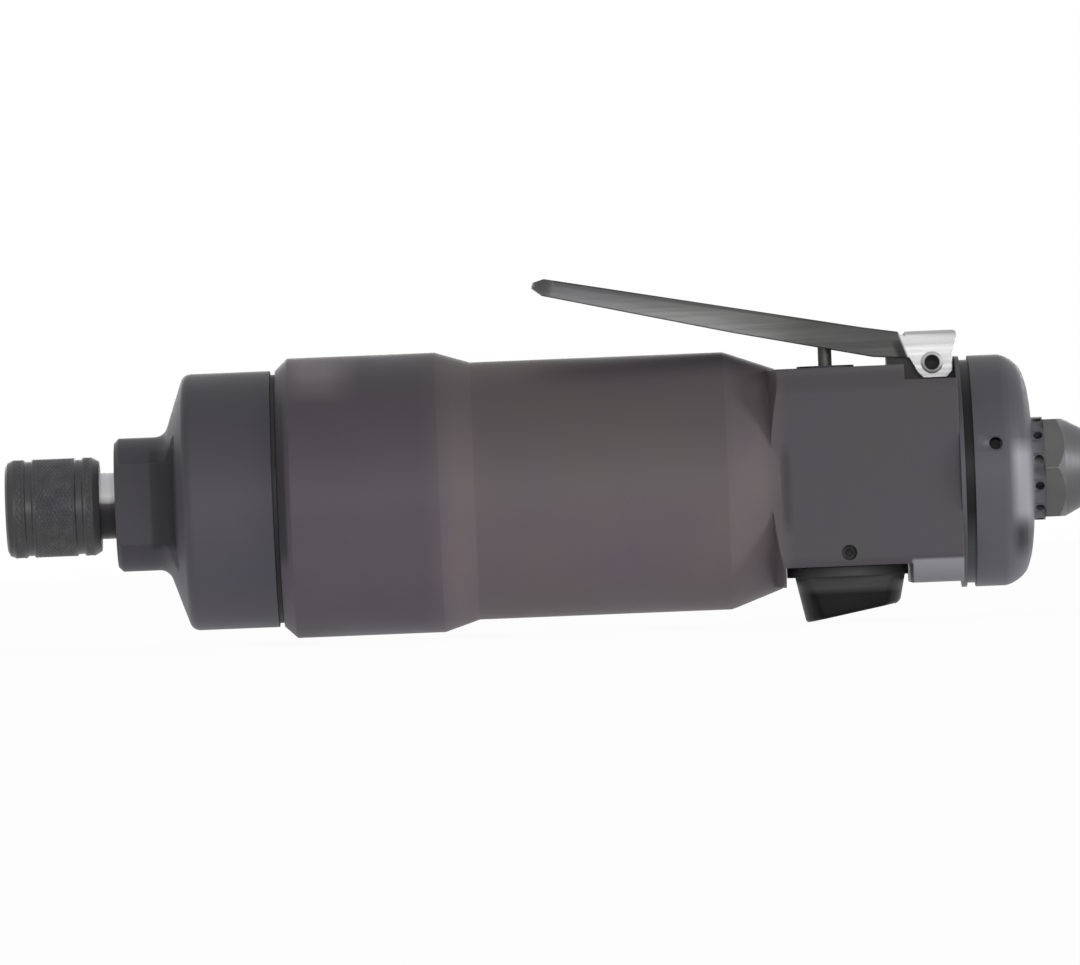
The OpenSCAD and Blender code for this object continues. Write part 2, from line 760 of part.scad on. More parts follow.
module dog_pins() color([0.75, 0.75, 0.77]) placed() for (side = [-1, 1])
    translate([0, 0, side * dog_pin_radius])
        rod(cage_front + pin_sink + slip, cage_rear, dog_pin_d);

module dog() difference() {
    translate([window_front + vane_tip_gap, 0, 0]) rotate([quarter_turn, 0, quarter_turn])
        linear_extrude(cage_window - 2 * vane_tip_gap) difference() {
            intersection() {
                circle(d = dog_d);
                polygon([[-dog_inner_w / 2, dog_inner], [dog_inner_w / 2, dog_inner],
                         [dog_top_w / 2, dog_top], [dog_top_w / 2, dog_d], [-dog_top_w / 2, dog_d],
                         [-dog_top_w / 2, dog_top]]);
            }
            circle(d = dog_arc_d);
        }
    translate([0, 0, dog_pin_radius])
        rod(window_front - over, window_rear + over, dog_pin_d + 2 * running);
}

module hammer_dog_upper() color([0.5, 0.48, 0.45]) placed() dog();
module hammer_dog_lower() color([0.5, 0.48, 0.45]) placed() rotate([half_turn, 0, 0]) dog();

// Anvil with the bit socket, and the quick-change chuck on its nose
anvil_lug_front = window_front + vane_tip_gap;
anvil_lug_rear = window_rear - vane_tip_gap;

module anvil() color([0.7, 0.7, 0.72]) placed() difference() {
    union() {
        rod(anvil_face, nose_shoulder + over, nose_d);
        rod(nose_shoulder, bushing_rear + over, neck_d);
        rod(bushing_rear + face_gap, window_front + vane_tip_gap, journal_d);
        rod(window_front, anvil_lug_rear, core_d);
        rod(window_rear - over, window_rear + tail_length, tail_d);
        intersection() {
            rod(anvil_lug_front, anvil_lug_rear, lug_d);
            translate([anvil_lug_front, -lug_d, -lug_w / 2])
                cube([cage_window, 2 * lug_d, lug_w]);
        }
    }
    hexagon(anvil_face - over, anvil_face + socket_depth, socket_af);
    translate([ball_station, 0, 0]) post(0, nose_d, ball_d + 2 * running);
    ring(retainer_front - slip, retainer_front + retainer_w + slip, nose_d + over,
         nose_d - 2 * retainer_groove);
}

module chuck_retainer() color([0.6, 0.6, 0.62]) placed()
    ring(retainer_front, retainer_front + retainer_w, retainer_d,
         nose_d - 2 * retainer_groove + 2 * slip);

chuck_spring_wire = 0.55;
chuck_spring_turns = 2.5;
chuck_spring_gap = 0.65;

module chuck_spring() color([0.75, 0.75, 0.77]) placed()
    translate([retainer_front + retainer_w + slip, 0, 0]) rotate([0, quarter_turn, 0])
        coil(sleeve_collar_front - retainer_front - retainer_w - 2 * slip,
             nose_d + 2 * chuck_spring_gap + 2 * chuck_spring_wire, chuck_spring_wire,
             chuck_spring_turns);

module chuck_ball() color([0.85, 0.85, 0.87]) placed()
    translate([ball_station, 0, ball_center_r]) sphere(d = ball_d);

module chuck_sleeve() color([0.13, 0.13, 0.14]) placed() difference() {
    turned([[nose_bore, sleeve_collar_front], [nose_bore, ramp_front],
            [nose_bore + sleeve_relief, ramp_front + ramp_length],
            [nose_bore + sleeve_relief, nose_shoulder - sleeve_stop],
            [nose_bore, nose_shoulder - sleeve_stop], [nose_bore, nose_shoulder - face_gap],
            [neck_d / 2 + running, nose_shoulder - face_gap], [neck_d / 2 + running, sleeve_length],
            [sleeve_d / 2 - sleeve_rear_chamfer, sleeve_length],
            [sleeve_d / 2, sleeve_length - sleeve_rear_chamfer],
            [sleeve_d / 2, sleeve_front_chamfer], [sleeve_d / 2 - sleeve_front_chamfer, 0],
            [sleeve_d / 2 - sleeve_wall, 0], [sleeve_d / 2 - sleeve_wall, sleeve_collar_front]]);
    for (place = grip_groove_places) ring(place, place + grip_groove_w, sleeve_d + over,
                                          sleeve_d - 2 * grip_groove_depth);
}
nose_bore = nose_d / 2 + running;

// Throttle lever and valve
module throttle_lever() color([0.62, 0.62, 0.6]) placed()
    translate([lever_x, 0, lever_pin_height]) difference() {
        rotate([quarter_turn, 0, 0]) linear_extrude(lever_w, center = true) lever_side();
        rotate([quarter_turn, 0, 0]) linear_extrude(lever_w - 2 * lever_t, center = true)
            lever_hollow();
        rotate([quarter_turn, 0, 0]) cylinder(h = lever_w + over, d = lever_pin_d + 2 * running,
                                              center = true);
        lever_tip_corners();
    }

lever_corner = 4;

function tilted(ahead, height) = [
    -ahead * cos(lever_angle) + height * sin(lever_angle),
    ahead * sin(lever_angle) + height * cos(lever_angle)];

// Side view of the lever as one outline, from the tip along the underside to the ear and back
module lever_side() polygon([
    tilted(lever_reach - lever_tip_round, lever_top),
    tilted(lever_reach, lever_top - lever_tip_round / 2),
    tilted(lever_reach, lever_top - lever_tip_depth + lever_tip_round / 2),
    tilted(lever_reach - lever_tip_round, lever_top - lever_tip_depth),
    tilted(lever_mid, lever_top - lever_mid_depth), tilted(lever_root, lever_top - lever_root_depth),
    [-ear_neck, ear_neck_rise], [-ear_foot - ear_corner, -ear_round + ear_corner],
    [-ear_foot, -ear_round], [ear_back - ear_corner, -ear_round], [ear_back, -ear_back_low],
    [ear_back, ear_back_high], [ear_top_back, ear_top], [-ear_top_front, ear_top],
    tilted(lever_bend, lever_top)]);

module lever_hollow() {
    rotate(-lever_angle) translate([-lever_reach + lever_tip_round, -lever_reach])
        square([lever_reach - lever_bend, lever_reach + lever_top - lever_t]);
    translate([-lever_bend, -lever_reach])
        square([ear_top_back + lever_bend + over, lever_reach + ear_top - lever_t]);
}

// The lever's tip has rounded corners in plan
module lever_tip_corners() rotate([0, lever_angle, 0]) for (side = [-1, 1])
    difference() {
        translate([-lever_reach - over, side * lever_w / 2 - lever_corner, -lever_reach])
            cube([lever_corner + over, 2 * lever_corner, 2 * lever_reach]);
        translate([-lever_reach + lever_corner, side * (lever_w / 2 - lever_corner), 0])
            post(-lever_reach, lever_reach, 2 * lever_corner);
    }

module lever_pin() color([0.2, 0.2, 0.21]) placed() translate([lever_x, 0, lever_pin_height])
    rotate([quarter_turn, 0, 0]) {
        cylinder(h = lever_w + 2 * face_gap, d = lever_pin_d, center = true);
        for (side = [0, 1]) mirror([0, 0, side]) translate([0, 0, lever_w / 2 + face_gap])
            cylinder(h = pin_head, d = pin_head_d);
    }

module throttle_plunger() color([0.72, 0.72, 0.74]) placed() translate([plunger_x, 0, 0]) {
    post(plunger_bottom + plunger_d / 2, plunger_top - plunger_d / 2, plunger_d);
    for (end = [plunger_bottom + plunger_d / 2, plunger_top - plunger_d / 2])
        translate([0, 0, end]) sphere(d = plunger_d);
    post(plunger_rise, plunger_rise + plunger_collar, plunger_collar_d);
}

module plunger_bushing() color([0.3, 0.29, 0.3]) placed() translate([plunger_x, 0, 0])
    difference() {
        union() {
            post(plunger_bush_bottom, handle_side / 2 + plunger_boss, plunger_bush_d);
            post(handle_side / 2 + slip, handle_side / 2 + plunger_boss, plunger_bush_flange_d);
        }
        post(plunger_bush_bottom - over, handle_side, plunger_d + 2 * running);
        post(plunger_seal_z - seal_wire / 2, plunger_seal_z + seal_wire / 2,
             plunger_d + 2 * seal_wire + 4 * running);
    }

module plunger_seal() color([0.06, 0.06, 0.06]) placed() translate([plunger_x, 0, plunger_seal_z])
    o_ring(plunger_d / 2 + running + seal_wire / 2, seal_wire - slip);

module throttle_valve() color([0.7, 0.7, 0.72]) placed() {
    rod(valve_front + facing_t, valve_rear, valve_d);
    rod(plunger_x - stem_tip, valve_rear - valve_head / 2, stem_d);
}

module valve_facing() color([0.1, 0.1, 0.1]) placed()
    ring(valve_front, valve_front + facing_t, facing_d, stem_d + 2 * slip);

module valve_seat() color([0.72, 0.55, 0.3]) placed()
    ring(seat_station + slip, seat_rear, chamber_d - 2 * slip, seat_hole_d);

module valve_spring() color([0.75, 0.75, 0.77]) placed() translate([valve_rear + slip, 0, 0])
    rotate([0, quarter_turn, 0])
        coil(valve_spring_length - 2 * slip, valve_spring_d, valve_spring_wire, valve_spring_turns);

// Reverse valve and its knob
module reverse_valve() color([0.7, 0.7, 0.72]) placed() translate([reverse_x, 0, 0]) difference() {
    post(knob_floor, spool_top - slip, spool_d);
    post(spool_top - spool_floor, 0, spool_bore_d);
    translate([0, 0, port_z]) rotate([0, -quarter_turn, port_turn * -1])
        cylinder(h = spool_d, d = port_d);
    translate([0, 0, detent_z]) rotate(half_turn) rotate_extrude(angle = quarter_turn)
        translate([detent_r, 0]) circle(d = detent_ball_d + 2 * running);
    for (a = [half_turn, half_turn + quarter_turn]) translate([
        detent_r * cos(a), detent_r * sin(a), detent_z]) sphere(d = detent_ball_d + 2 * running);
    translate([0, 0, seal_z]) difference() {
        post(-spool_seal_wire / 2 - running, spool_seal_wire / 2 + running, spool_d + over);
        post(-spool_seal_wire, spool_seal_wire, spool_d - 2 * spool_seal_wire);
    }
    post(knob_floor - over, knob_floor + knob_screw_sink, knob_screw_d - screw_bite);
}
screw_bite = 0.5;
knob_screw_sink = 4;

module reverse_bushing() color([0.72, 0.55, 0.3]) placed() translate([reverse_x, 0, 0])
    difference() {
        post(knob_floor + slip, spool_top - slip, reverse_bush_d);
        post(knob_floor - over, 0, spool_d + 2 * running);
        for (side = [-1, 1]) translate([0, 0, port_z]) rotate([0, -quarter_turn, side * port_turn])
            cylinder(h = reverse_bush_d, d = port_d);
        translate([0, 0, detent_z]) rotate([quarter_turn, 0, 0])
            cylinder(h = reverse_bush_d, d = detent_hole_d);
    }

module reverse_seal() color([0.06, 0.06, 0.06]) placed() translate([reverse_x, 0, seal_z])
    o_ring(spool_d / 2 - spool_seal_wire / 2 + slip, spool_seal_wire - 2 * slip);

knob_top = knob_floor - knob_gap;
knob_body_top = knob_top - knob_flange;
screw_head_rise = 0.6;
knob_head_seat = knob_body_top - screw_head_rise;

module reverse_knob() color([0.09, 0.09, 0.09]) placed() translate([reverse_x, 0, 0]) difference() {
    union() {
        post(knob_body_top, knob_top, knob_flange_d);
        translate([knob_shift, 0, 0]) intersection() {
            translate([0, 0, knob_body_top - knob_deep])
                cylinder(h = knob_deep + over / 2, d1 = knob_base_d, d2 = knob_body_d);
            knob_wedge();
        }
    }
    post(-handle_side, knob_top + over, knob_screw_d + 2 * running);
    post(-handle_side, knob_head_seat, screw_head_d + 2 * running);
}

// The knob's finger grip, seen from the side: flat sides and a slanted underside
module knob_wedge() rotate([quarter_turn, 0, 0]) linear_extrude(knob_grip_w, center = true)
    polygon([[-knob_body_d, knob_body_top + over], [knob_body_d, knob_body_top + over],
             [knob_base_d / 2, knob_body_top - knob_shallow],
             [-knob_base_d / 2, knob_body_top - knob_deep],
             [-knob_body_d, knob_body_top - knob_deep]]);

module knob_screw() color([0.5, 0.5, 0.52]) placed() translate([reverse_x, 0, 0]) difference() {
    union() {
        post(knob_head_seat - screw_head, knob_head_seat - slip, screw_head_d);
        post(knob_head_seat - over, knob_floor + slip, knob_screw_d);
        post(knob_floor, knob_floor + knob_screw_sink - free_gap, knob_screw_d - screw_bite);
    }
    post(knob_head_seat - screw_head - over, knob_head_seat - screw_head / 2, screw_head_d / 2);
}

module detent_ball() color([0.85, 0.85, 0.87]) placed()
    translate([reverse_x, -detent_r, detent_z]) sphere(d = detent_ball_d);

module detent_spring() color([0.75, 0.75, 0.77]) placed()
    translate([reverse_x, -detent_spring_front, detent_z]) rotate([quarter_turn, 0, 0])
        coil(detent_spring_length, detent_spring_d, detent_spring_wire, detent_spring_turns);

module detent_screw() color([0.15, 0.15, 0.15]) placed()
    translate([reverse_x, -detent_screw_front, detent_z]) rotate([quarter_turn, 0, 0])
        difference() {
            cylinder(h = detent_screw_length, d = detent_hole_d);
            translate([0, 0, detent_screw_length / 2])
                cylinder(h = detent_screw_length, d = detent_hole_d / 2, $fn = hex_sides);
        }

// Rear cap and air inlet
module rear_cap() color([0.34, 0.34, 0.36]) placed() difference() {
    turned(concat([[0, handle_end], [cap_d / 2, handle_end]],
        [for (share = cap_dome_shares) [cap_d / 2 - share[1] * (cap_d - cap_collar_d) / 2,
                                        cap_cylinder_end + share[0] * cap_dome]],
        [[cap_collar_d / 2, cap_collar_end], [0, cap_collar_end]]));
    rod(handle_end - over, cap_collar_end + over, inlet_thread_d + 2 * face_gap);
    ring(handle_end - over, cap_cylinder_end - cap_face + over, cap_hollow_d, cap_hollow_core_d);
    for (i = [0:cap_ports - 1]) rotate([full_turn * i / cap_ports, 0, 0])
        translate([handle_end + cap_core_length + cap_port_d / 4, 0, 0])
            post(0, (cap_hollow_d + cap_hollow_core_d) / 4, cap_port_d);
    ring(handle_end + cap_groove_back, handle_end + cap_groove_back + cap_groove, cap_d + over,
         cap_d - 2 * cap_groove_depth);
    for (i = [0:exhaust_holes - 1]) rotate([exhaust_turn + full_turn * i / exhaust_holes, 0, 0])
        translate([(cap_end + cap_collar_end) / 2, 0, 0])
            post(inlet_thread_d / 2, cap_collar_d, exhaust_hole_d);
    for (i = [0:spanner_blind_count - 1])
        rotate([quarter_turn - spanner_turn + full_turn * i / spanner_blind_count, 0, 0])
            translate([handle_end + spanner_blind_back, 0, 0])
                post(cap_d / 2 - spanner_blind, cap_d, spanner_blind_d);
}

module inlet_bushing() color([0.5, 0.5, 0.49]) placed() difference() {
    union() {
        intersection() {
            rotate([hex_half, 0, 0]) hexagon(cap_collar_end, tool_length, inlet_af);
            turned([[0, cap_collar_end], [inlet_af / 2 + inlet_corner, cap_collar_end],
                    [inlet_af / 2 + inlet_corner, tool_length - inlet_chamfer - inlet_corner],
                    [inlet_af / 2, tool_length - inlet_chamfer],
                    [inlet_af / 2 - inlet_chamfer_depth, tool_length], [0, tool_length]]);
        }
        rod(handle_end + cap_core_length, cap_collar_end + over,
            inlet_hole_d + 2 * inlet_neck_wall);
        rod(inlet_thread_front, handle_end + cap_core_length, inlet_thread_d);
    }
    rod(tool_length - inlet_hole_depth, tool_length + over, inlet_hole_d);
    rod(inlet_thread_front - over, tool_length, inlet_bore_d);
    rod(tool_length - inlet_hole_depth - screen_t, tool_length, screen_d + 2 * slip);
}

module inlet_seal() color([0.06, 0.06, 0.06]) placed()
    translate([handle_end - inlet_seal_wire / 2, 0, 0]) rotate([0, quarter_turn, 0])
        o_ring(inlet_thread_d / 2 + inlet_seal_wire / 2 + slip, inlet_seal_wire - slip);

module inlet_screen() color([0.72, 0.55, 0.3]) placed() difference() {
    rod(tool_length - inlet_hole_depth - screen_t + slip, tool_length - inlet_hole_depth, screen_d);
    for (i = [-2:2], j = [-2:2]) if (abs(i) + abs(j) < 4)
        translate([0, i * screen_pitch, j * screen_pitch])
            rod(tool_length - inlet_hole_depth - 2 * screen_t, tool_length, screen_hole_d);
}

hammer_case();
case_seal();
motor_housing();
anvil_bushing();
anvil_seal();
motor_clamp_ring();
front_end_plate();
front_bearing_outer();
front_bearing_balls();
front_bearing_inner();
cylinder_liner();
rear_end_plate();
rear_bearing_outer();
rear_bearing_balls();
rear_bearing_inner();
locating_dowel();
rotor();
rotor_vanes();
hammer_cage();
dog_pins();
hammer_dog_upper();
hammer_dog_lower();
anvil();
chuck_retainer();
chuck_spring();
chuck_ball();
chuck_sleeve();
throttle_lever();
lever_pin();
throttle_plunger();
plunger_bushing();
plunger_seal();
throttle_valve();
valve_facing();
valve_seat();
valve_spring();
reverse_valve();
reverse_bushing();
reverse_seal();
reverse_knob();
knob_screw();
detent_ball();
detent_spring();
detent_screw();
rear_cap();
inlet_bushing();
inlet_seal();
inlet_screen();
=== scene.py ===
import json
import math

import bmesh
import bpy
from bpy.props import FloatProperty, FloatVectorProperty, IntProperty, PointerProperty
from mathutils import Matrix, Vector

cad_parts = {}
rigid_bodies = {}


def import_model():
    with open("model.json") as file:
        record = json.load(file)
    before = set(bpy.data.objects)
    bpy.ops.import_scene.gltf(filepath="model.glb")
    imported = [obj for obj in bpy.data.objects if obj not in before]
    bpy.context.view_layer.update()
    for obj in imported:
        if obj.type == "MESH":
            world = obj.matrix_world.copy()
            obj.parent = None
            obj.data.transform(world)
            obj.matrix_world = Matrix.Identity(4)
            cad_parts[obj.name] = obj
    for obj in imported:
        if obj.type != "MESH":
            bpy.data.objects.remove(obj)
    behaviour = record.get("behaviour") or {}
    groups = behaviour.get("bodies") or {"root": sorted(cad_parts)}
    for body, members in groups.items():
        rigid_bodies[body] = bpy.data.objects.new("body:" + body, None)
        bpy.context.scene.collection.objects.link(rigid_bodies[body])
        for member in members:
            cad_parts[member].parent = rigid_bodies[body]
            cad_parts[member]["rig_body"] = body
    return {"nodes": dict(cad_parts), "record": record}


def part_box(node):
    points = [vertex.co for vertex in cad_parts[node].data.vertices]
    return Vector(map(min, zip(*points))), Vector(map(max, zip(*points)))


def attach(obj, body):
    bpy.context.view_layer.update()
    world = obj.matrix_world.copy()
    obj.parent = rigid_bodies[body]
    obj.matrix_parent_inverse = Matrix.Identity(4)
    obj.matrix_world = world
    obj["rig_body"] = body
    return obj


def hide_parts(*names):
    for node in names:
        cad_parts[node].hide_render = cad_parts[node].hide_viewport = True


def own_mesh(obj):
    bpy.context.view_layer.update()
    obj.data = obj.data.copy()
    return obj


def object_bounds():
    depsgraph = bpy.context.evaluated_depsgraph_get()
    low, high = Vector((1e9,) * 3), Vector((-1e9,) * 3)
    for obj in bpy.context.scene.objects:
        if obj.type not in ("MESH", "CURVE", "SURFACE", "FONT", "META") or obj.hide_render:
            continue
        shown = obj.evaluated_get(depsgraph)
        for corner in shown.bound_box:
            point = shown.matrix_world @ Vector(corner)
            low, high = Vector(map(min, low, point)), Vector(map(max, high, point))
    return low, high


bl_info = {
    "name": "Pneumatic screwdriver",
    "version": (1, 0, 0),
    "blender": (4, 5, 0),
    "location": "3D View > Sidebar > Screwdriver",
    "description": "Gives the packed screwdriver its knurled sleeve, rounded lever and knob, "
                   "thread, springs and finishes, and a plain studio",
    "category": "Object",
}

MM = 0.001
ALONG, ACROSS, UP = 0, 1, 2
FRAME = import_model()
NODES = FRAME["nodes"]
CAD_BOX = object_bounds()
SLOT_OF = {part["node"]: part["material_slot"] for part in FRAME["record"]["subparts"]}

# Places and sizes read off the solids, in metres
SLEEVE_LOW, SLEEVE_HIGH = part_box("chuck_sleeve")
SHOULDER_START, HANDLE_END = (corner.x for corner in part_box("motor_housing"))
CASE_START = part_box("hammer_case")[0].x
CAP_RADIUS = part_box("rear_cap")[1].z
CAP_GROOVE = HANDLE_END + 0.7 * MM, HANDLE_END + 2.5 * MM
CAP_GROOVE_DEPTH = 1.6 * MM
PIN = (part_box("lever_pin")[0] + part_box("lever_pin")[1]) / 2

# Share of plain white in what the camera sees of the floor. The rest is lit, with the shadow.
FLOOR_WHITE = 0.95


def shade(red, green, blue):
    """A colour read off in 0 to 255 steps, as the linear values that Blender's sockets take"""
    steps = [value / 255 for value in (red, green, blue)]
    return tuple(s / 12.92 if s <= 0.04045 else ((s + 0.055) / 1.055) ** 2.4 for s in steps) + (1,)


def colour(name, description, default):
    return FloatVectorProperty(name=name, description=description, default=default, size=4,
                               subtype="COLOR", min=0, max=1)


def length(name, description, default, low, high):
    return FloatProperty(name=name, description=description, default=default, min=low, max=high,
                         precision=5, subtype="DISTANCE", unit="LENGTH")


class ScrewdriverSizes(bpy.types.PropertyGroup):
    """Sizes of the pieces that are made here"""
    knurl_pitch: length("Knurl pitch", "Distance between two peaks round the sleeve",
                        0.62 * MM, 0.4 * MM, 1.5 * MM)
    knurl_height: length("Knurl height", "How far the peaks stand above the valleys",
                         0.16 * MM, 0, 0.3 * MM)
    groove_depth: length("Groove depth", "Depth of the plain grooves between the knurled bands",
                         0.35 * MM, 0, 0.6 * MM)
    sleeve_corner: length("Sleeve corner", "Rounding of the sleeve's front corner",
                          1.2 * MM, 0.5 * MM, 1.3 * MM)
    lever_fold: length("Lever fold", "Outer radius of the pressed lever's long folds",
                       1.1 * MM, 0.2 * MM, 1.3 * MM)
    knob_round: length("Knob rounding", "Radius on the moulded knob's edges",
                       0.5 * MM, 0.1 * MM, 1 * MM)
    # The groove's raised floor is drawn dark as painted shade in cap_paint
    cap_groove: length("Cap groove", "Depth of the dirt-filled groove in front of the cap",
                       0.7 * MM, 0.2 * MM, 1.6 * MM)
    thread_pitch: length("Thread pitch", "Pitch of the inlet's thread",
                         1.337 * MM, 0.8 * MM, 2 * MM)
    thread_height: length("Thread height", "How far the crests stand inside the inlet's hole",
                          0.3 * MM, 0.1 * MM, 0.5 * MM)
    coil_steps: IntProperty(name="Coil steps", description="Steps in each curl of a spring",
                            default=40, min=12, max=96)


class ScrewdriverColours(bpy.types.PropertyGroup):
    """Colours of the finishes"""
    shoulder_paint: colour("Shoulder paint", "Housing paint over the front shoulder",
                           shade(80, 75, 79))
    # Painted light: the steps face the rear end and are drawn lighter, as the light from there
    # falls on them
    lit_cone_paint: colour("Cone paint", "Housing paint on the step down to the grip",
                       shade(96, 87, 88))
    grip_paint: colour("Grip paint", "Housing paint where the hand rubs it", shade(93, 85, 86))
    handle_paint: colour("Handle paint", "Housing paint round the valve", shade(74, 71, 74))
    case_paint: colour("Case paint", "Paint of the hammer case", shade(74, 72, 76))
    collar_paint: colour("Collar paint", "Hammer case's paint on its nose", shade(64, 62, 67))
    cap_paint: colour("Cap paint", "Paint of the rear cap", shade(81, 81, 84))
    black_steel: colour("Blackened steel", "Knurled sleeve, lever pin and screws",
                        shade(64, 64, 66))
    bright_steel: colour("Bright steel", "Ground steel of the anvil's neck",
                         shade(188, 187, 190))
    bright_ears: colour("Bright ears", "The lever's rubbed ears", shade(168, 168, 168))
    lever_tip: colour("Lever tip", "Lever where the fingers press it", shade(88, 88, 88))
    lever_arm: colour("Lever arm", "Dull steel of the lever's arm", shade(104, 104, 104))
    lever_root: colour("Lever root", "Lever's arm near its pin", shade(68, 68, 68))
    inlet_steel: colour("Inlet steel", "Dull plating of the inlet's hexagon", shade(92, 92, 92))
    knob_plastic: colour("Knob plastic", "Moulded black plastic", shade(14, 14, 16))


class ScrewdriverStudio(bpy.types.PropertyGroup):
    """Camera and lamps"""
    distance: FloatProperty(name="Camera distance", description="From the tool's middle plane",
                            default=2.2, min=0.3, max=5, subtype="DISTANCE", unit="LENGTH")
    view_width: FloatProperty(name="View width", description="Width of the picture at the tool",
                              default=0.18881, min=0.1, max=1, subtype="DISTANCE", unit="LENGTH")
    tilt: FloatProperty(name="Tilt", description="How far the tool's rear end is turned up",
                        default=math.radians(2.31), min=-0.5, max=0.5, subtype="ANGLE",
                        unit="ROTATION")
    middle_x: FloatProperty(name="Middle along", description="Picture's middle along the tool",
                            default=-0.095, min=-0.3, max=0.1, precision=5,
                            subtype="DISTANCE", unit="LENGTH")
    middle_z: FloatProperty(name="Middle height", description="Picture's middle above the axis",
                            default=0.00102, min=-0.1, max=0.1, precision=5,
                            subtype="DISTANCE", unit="LENGTH")
    front_power: FloatProperty(name="Front lamp", description="Power of the lamp by the camera",
                               default=17, min=0, max=100, subtype="POWER", unit="POWER")
    side_power: FloatProperty(name="Side lamp", description="Power of the lamp off the rear end",
                              default=7, min=0, max=50, subtype="POWER", unit="POWER")
    back_power: FloatProperty(name="Back lamp", description="Power of the lamp behind the tool",
                              default=21, min=0, max=100, subtype="POWER", unit="POWER")
    room_light: FloatProperty(name="Room light", description="Even light from all round",
                              default=0.5, min=0, max=1)


# Shader building

def add(tree, kind, inputs=None, **settings):
    """One shader node, with its inputs set to values or joined to other nodes' outputs"""
    node = tree.nodes.new("ShaderNode" + kind)
    for name, value in settings.items():
        setattr(node, name, value)
    for key, value in (inputs or {}).items():
        if isinstance(value, bpy.types.NodeSocket):
            tree.links.new(value, node.inputs[key])
        else:
            node.inputs[key].default_value = value
    return node


def math_node(tree, operation, *values, clamp=False):
    return add(tree, "Math", dict(enumerate(values)), operation=operation,
               use_clamp=clamp).outputs[0]


def spread(tree, value, low, high, to_low, to_high):
    """A value moved from one range to another and kept inside it"""
    return add(tree, "MapRange", {"Value": value, "From Min": low, "From Max": high,
                                  "To Min": to_low, "To Max": to_high}).outputs[0]


def blend_colours(tree, share, first, second, kind="MIX"):
    return add(tree, "Mix", {0: share, 6: first, 7: second}, data_type="RGBA",
               blend_type=kind).outputs[2]


def emptied(owner):
    """The node tree of a material or a world, without its nodes"""
    owner.use_nodes = True
    owner.node_tree.nodes.clear()
    return owner.node_tree


def looked_at(tree):
    """1 for rays of the camera and of reflections, and 0 for others"""
    seen = add(tree, "LightPath").outputs
    return math_node(tree, "MAXIMUM", seen["Is Camera Ray"], seen["Is Glossy Ray"])


def effect_group(name, inputs, outputs):
    """An empty shader group, its input node and its output node"""
    group = bpy.data.node_groups.new(name, "ShaderNodeTree")
    for label, default in inputs.items():
        vector = label == "Position"
        socket = group.interface.new_socket(
            label, in_out="INPUT", socket_type="NodeSocketVector" if vector else "NodeSocketFloat")
        if not vector:
            socket.default_value = default
    for label, kind in outputs.items():
        group.interface.new_socket(label, in_out="OUTPUT", socket_type=kind)
    return group, group.nodes.new("NodeGroupInput"), group.nodes.new("NodeGroupOutput")


def grain_group():
    """Fine grain of paint, casting or moulding, and soft patches of darker and lighter tone"""
    group, given, result = effect_group(
        "Fine grain", {"Position": None, "Grains per metre": 1500.0, "Patches per metre": 60.0},
        {"Height": "NodeSocketFloat", "Patch": "NodeSocketFloat"})
    fine = add(group, "TexNoise", {"Vector": given.outputs["Position"], "Detail": 3.0,
                                   "Scale": given.outputs["Grains per metre"], "Roughness": 0.6})
    soft = add(group, "TexNoise", {"Vector": given.outputs["Position"], "Detail": 4.0,
                                   "Scale": given.outputs["Patches per metre"]})
    group.links.new(fine.outputs[0], result.inputs["Height"])
    group.links.new(soft.outputs[0], result.inputs["Patch"])
    return group


def marks_group():
    """Marks that run one way, as a lathe, a grinder or rolled sheet leaves them"""
    group, given, result = effect_group(
        "Tool marks", {"Position": None, "Along": 3000.0, "Across": 20.0, "Up": 20.0},
        {"Height": "NodeSocketFloat"})
    scale = add(group, "CombineXYZ", {0: given.outputs["Along"], 1: given.outputs["Across"],
                                      2: given.outputs["Up"]})
    drawn = add(group, "VectorMath", {0: given.outputs["Position"], 1: scale.outputs[0]},
                operation="MULTIPLY")
    streaks = add(group, "TexNoise", {"Vector": drawn.outputs[0], "Scale": 1.0, "Detail": 3.0})
    group.links.new(streaks.outputs[0], result.inputs["Height"])
    return group


def wear_group():
    """Edges rounded in the light, and a broken mask where use has rubbed them"""
    group, given, result = effect_group(
        "Worn edges", {"Position": None, "Radius": 0.3 * MM, "Breaks per metre": 400.0},
        {"Mask": "NodeSocketFloat", "Rounded": "NodeSocketVector"})
    rounded = add(group, "Bevel", {"Radius": given.outputs["Radius"]}, samples=4)
    flat = add(group, "NewGeometry").outputs["Normal"]
    turned_away = add(group, "VectorMath", {0: rounded.outputs[0], 1: flat},
                      operation="DOT_PRODUCT").outputs["Value"]
    edge = spread(group, turned_away, 0.995, 0.9, 0.0, 1.0)
    broken = add(group, "TexNoise", {"Vector": given.outputs["Position"], "Detail": 5.0,
                                     "Scale": given.outputs["Breaks per metre"]})
    kept = spread(group, broken.outputs[0], 0.4, 0.62, 0.0, 1.0)
    group.links.new(math_node(group, "MULTIPLY", edge, kept), result.inputs["Mask"])
    group.links.new(rounded.outputs[0], result.inputs["Rounded"])
    return group


def between_group():
    """A mask that is 1 where a value lies between two limits, with soft ends"""
    group, given, result = effect_group(
        "Between limits", {"Value": 0.0, "Low": 0.0, "High": 1.0, "Softness": 0.3 * MM},
        {"Mask": "NodeSocketFloat"})
    value, soft = given.outputs["Value"], given.outputs["Softness"]
    inside = []
    for first, second in ((value, given.outputs["Low"]), (given.outputs["High"], value)):
        past = math_node(group, "DIVIDE", math_node(group, "SUBTRACT", first, second), soft)
        inside.append(math_node(group, "ADD", past, 0.5, clamp=True))
    group.links.new(math_node(group, "MULTIPLY", *inside), result.inputs["Mask"])
    return group


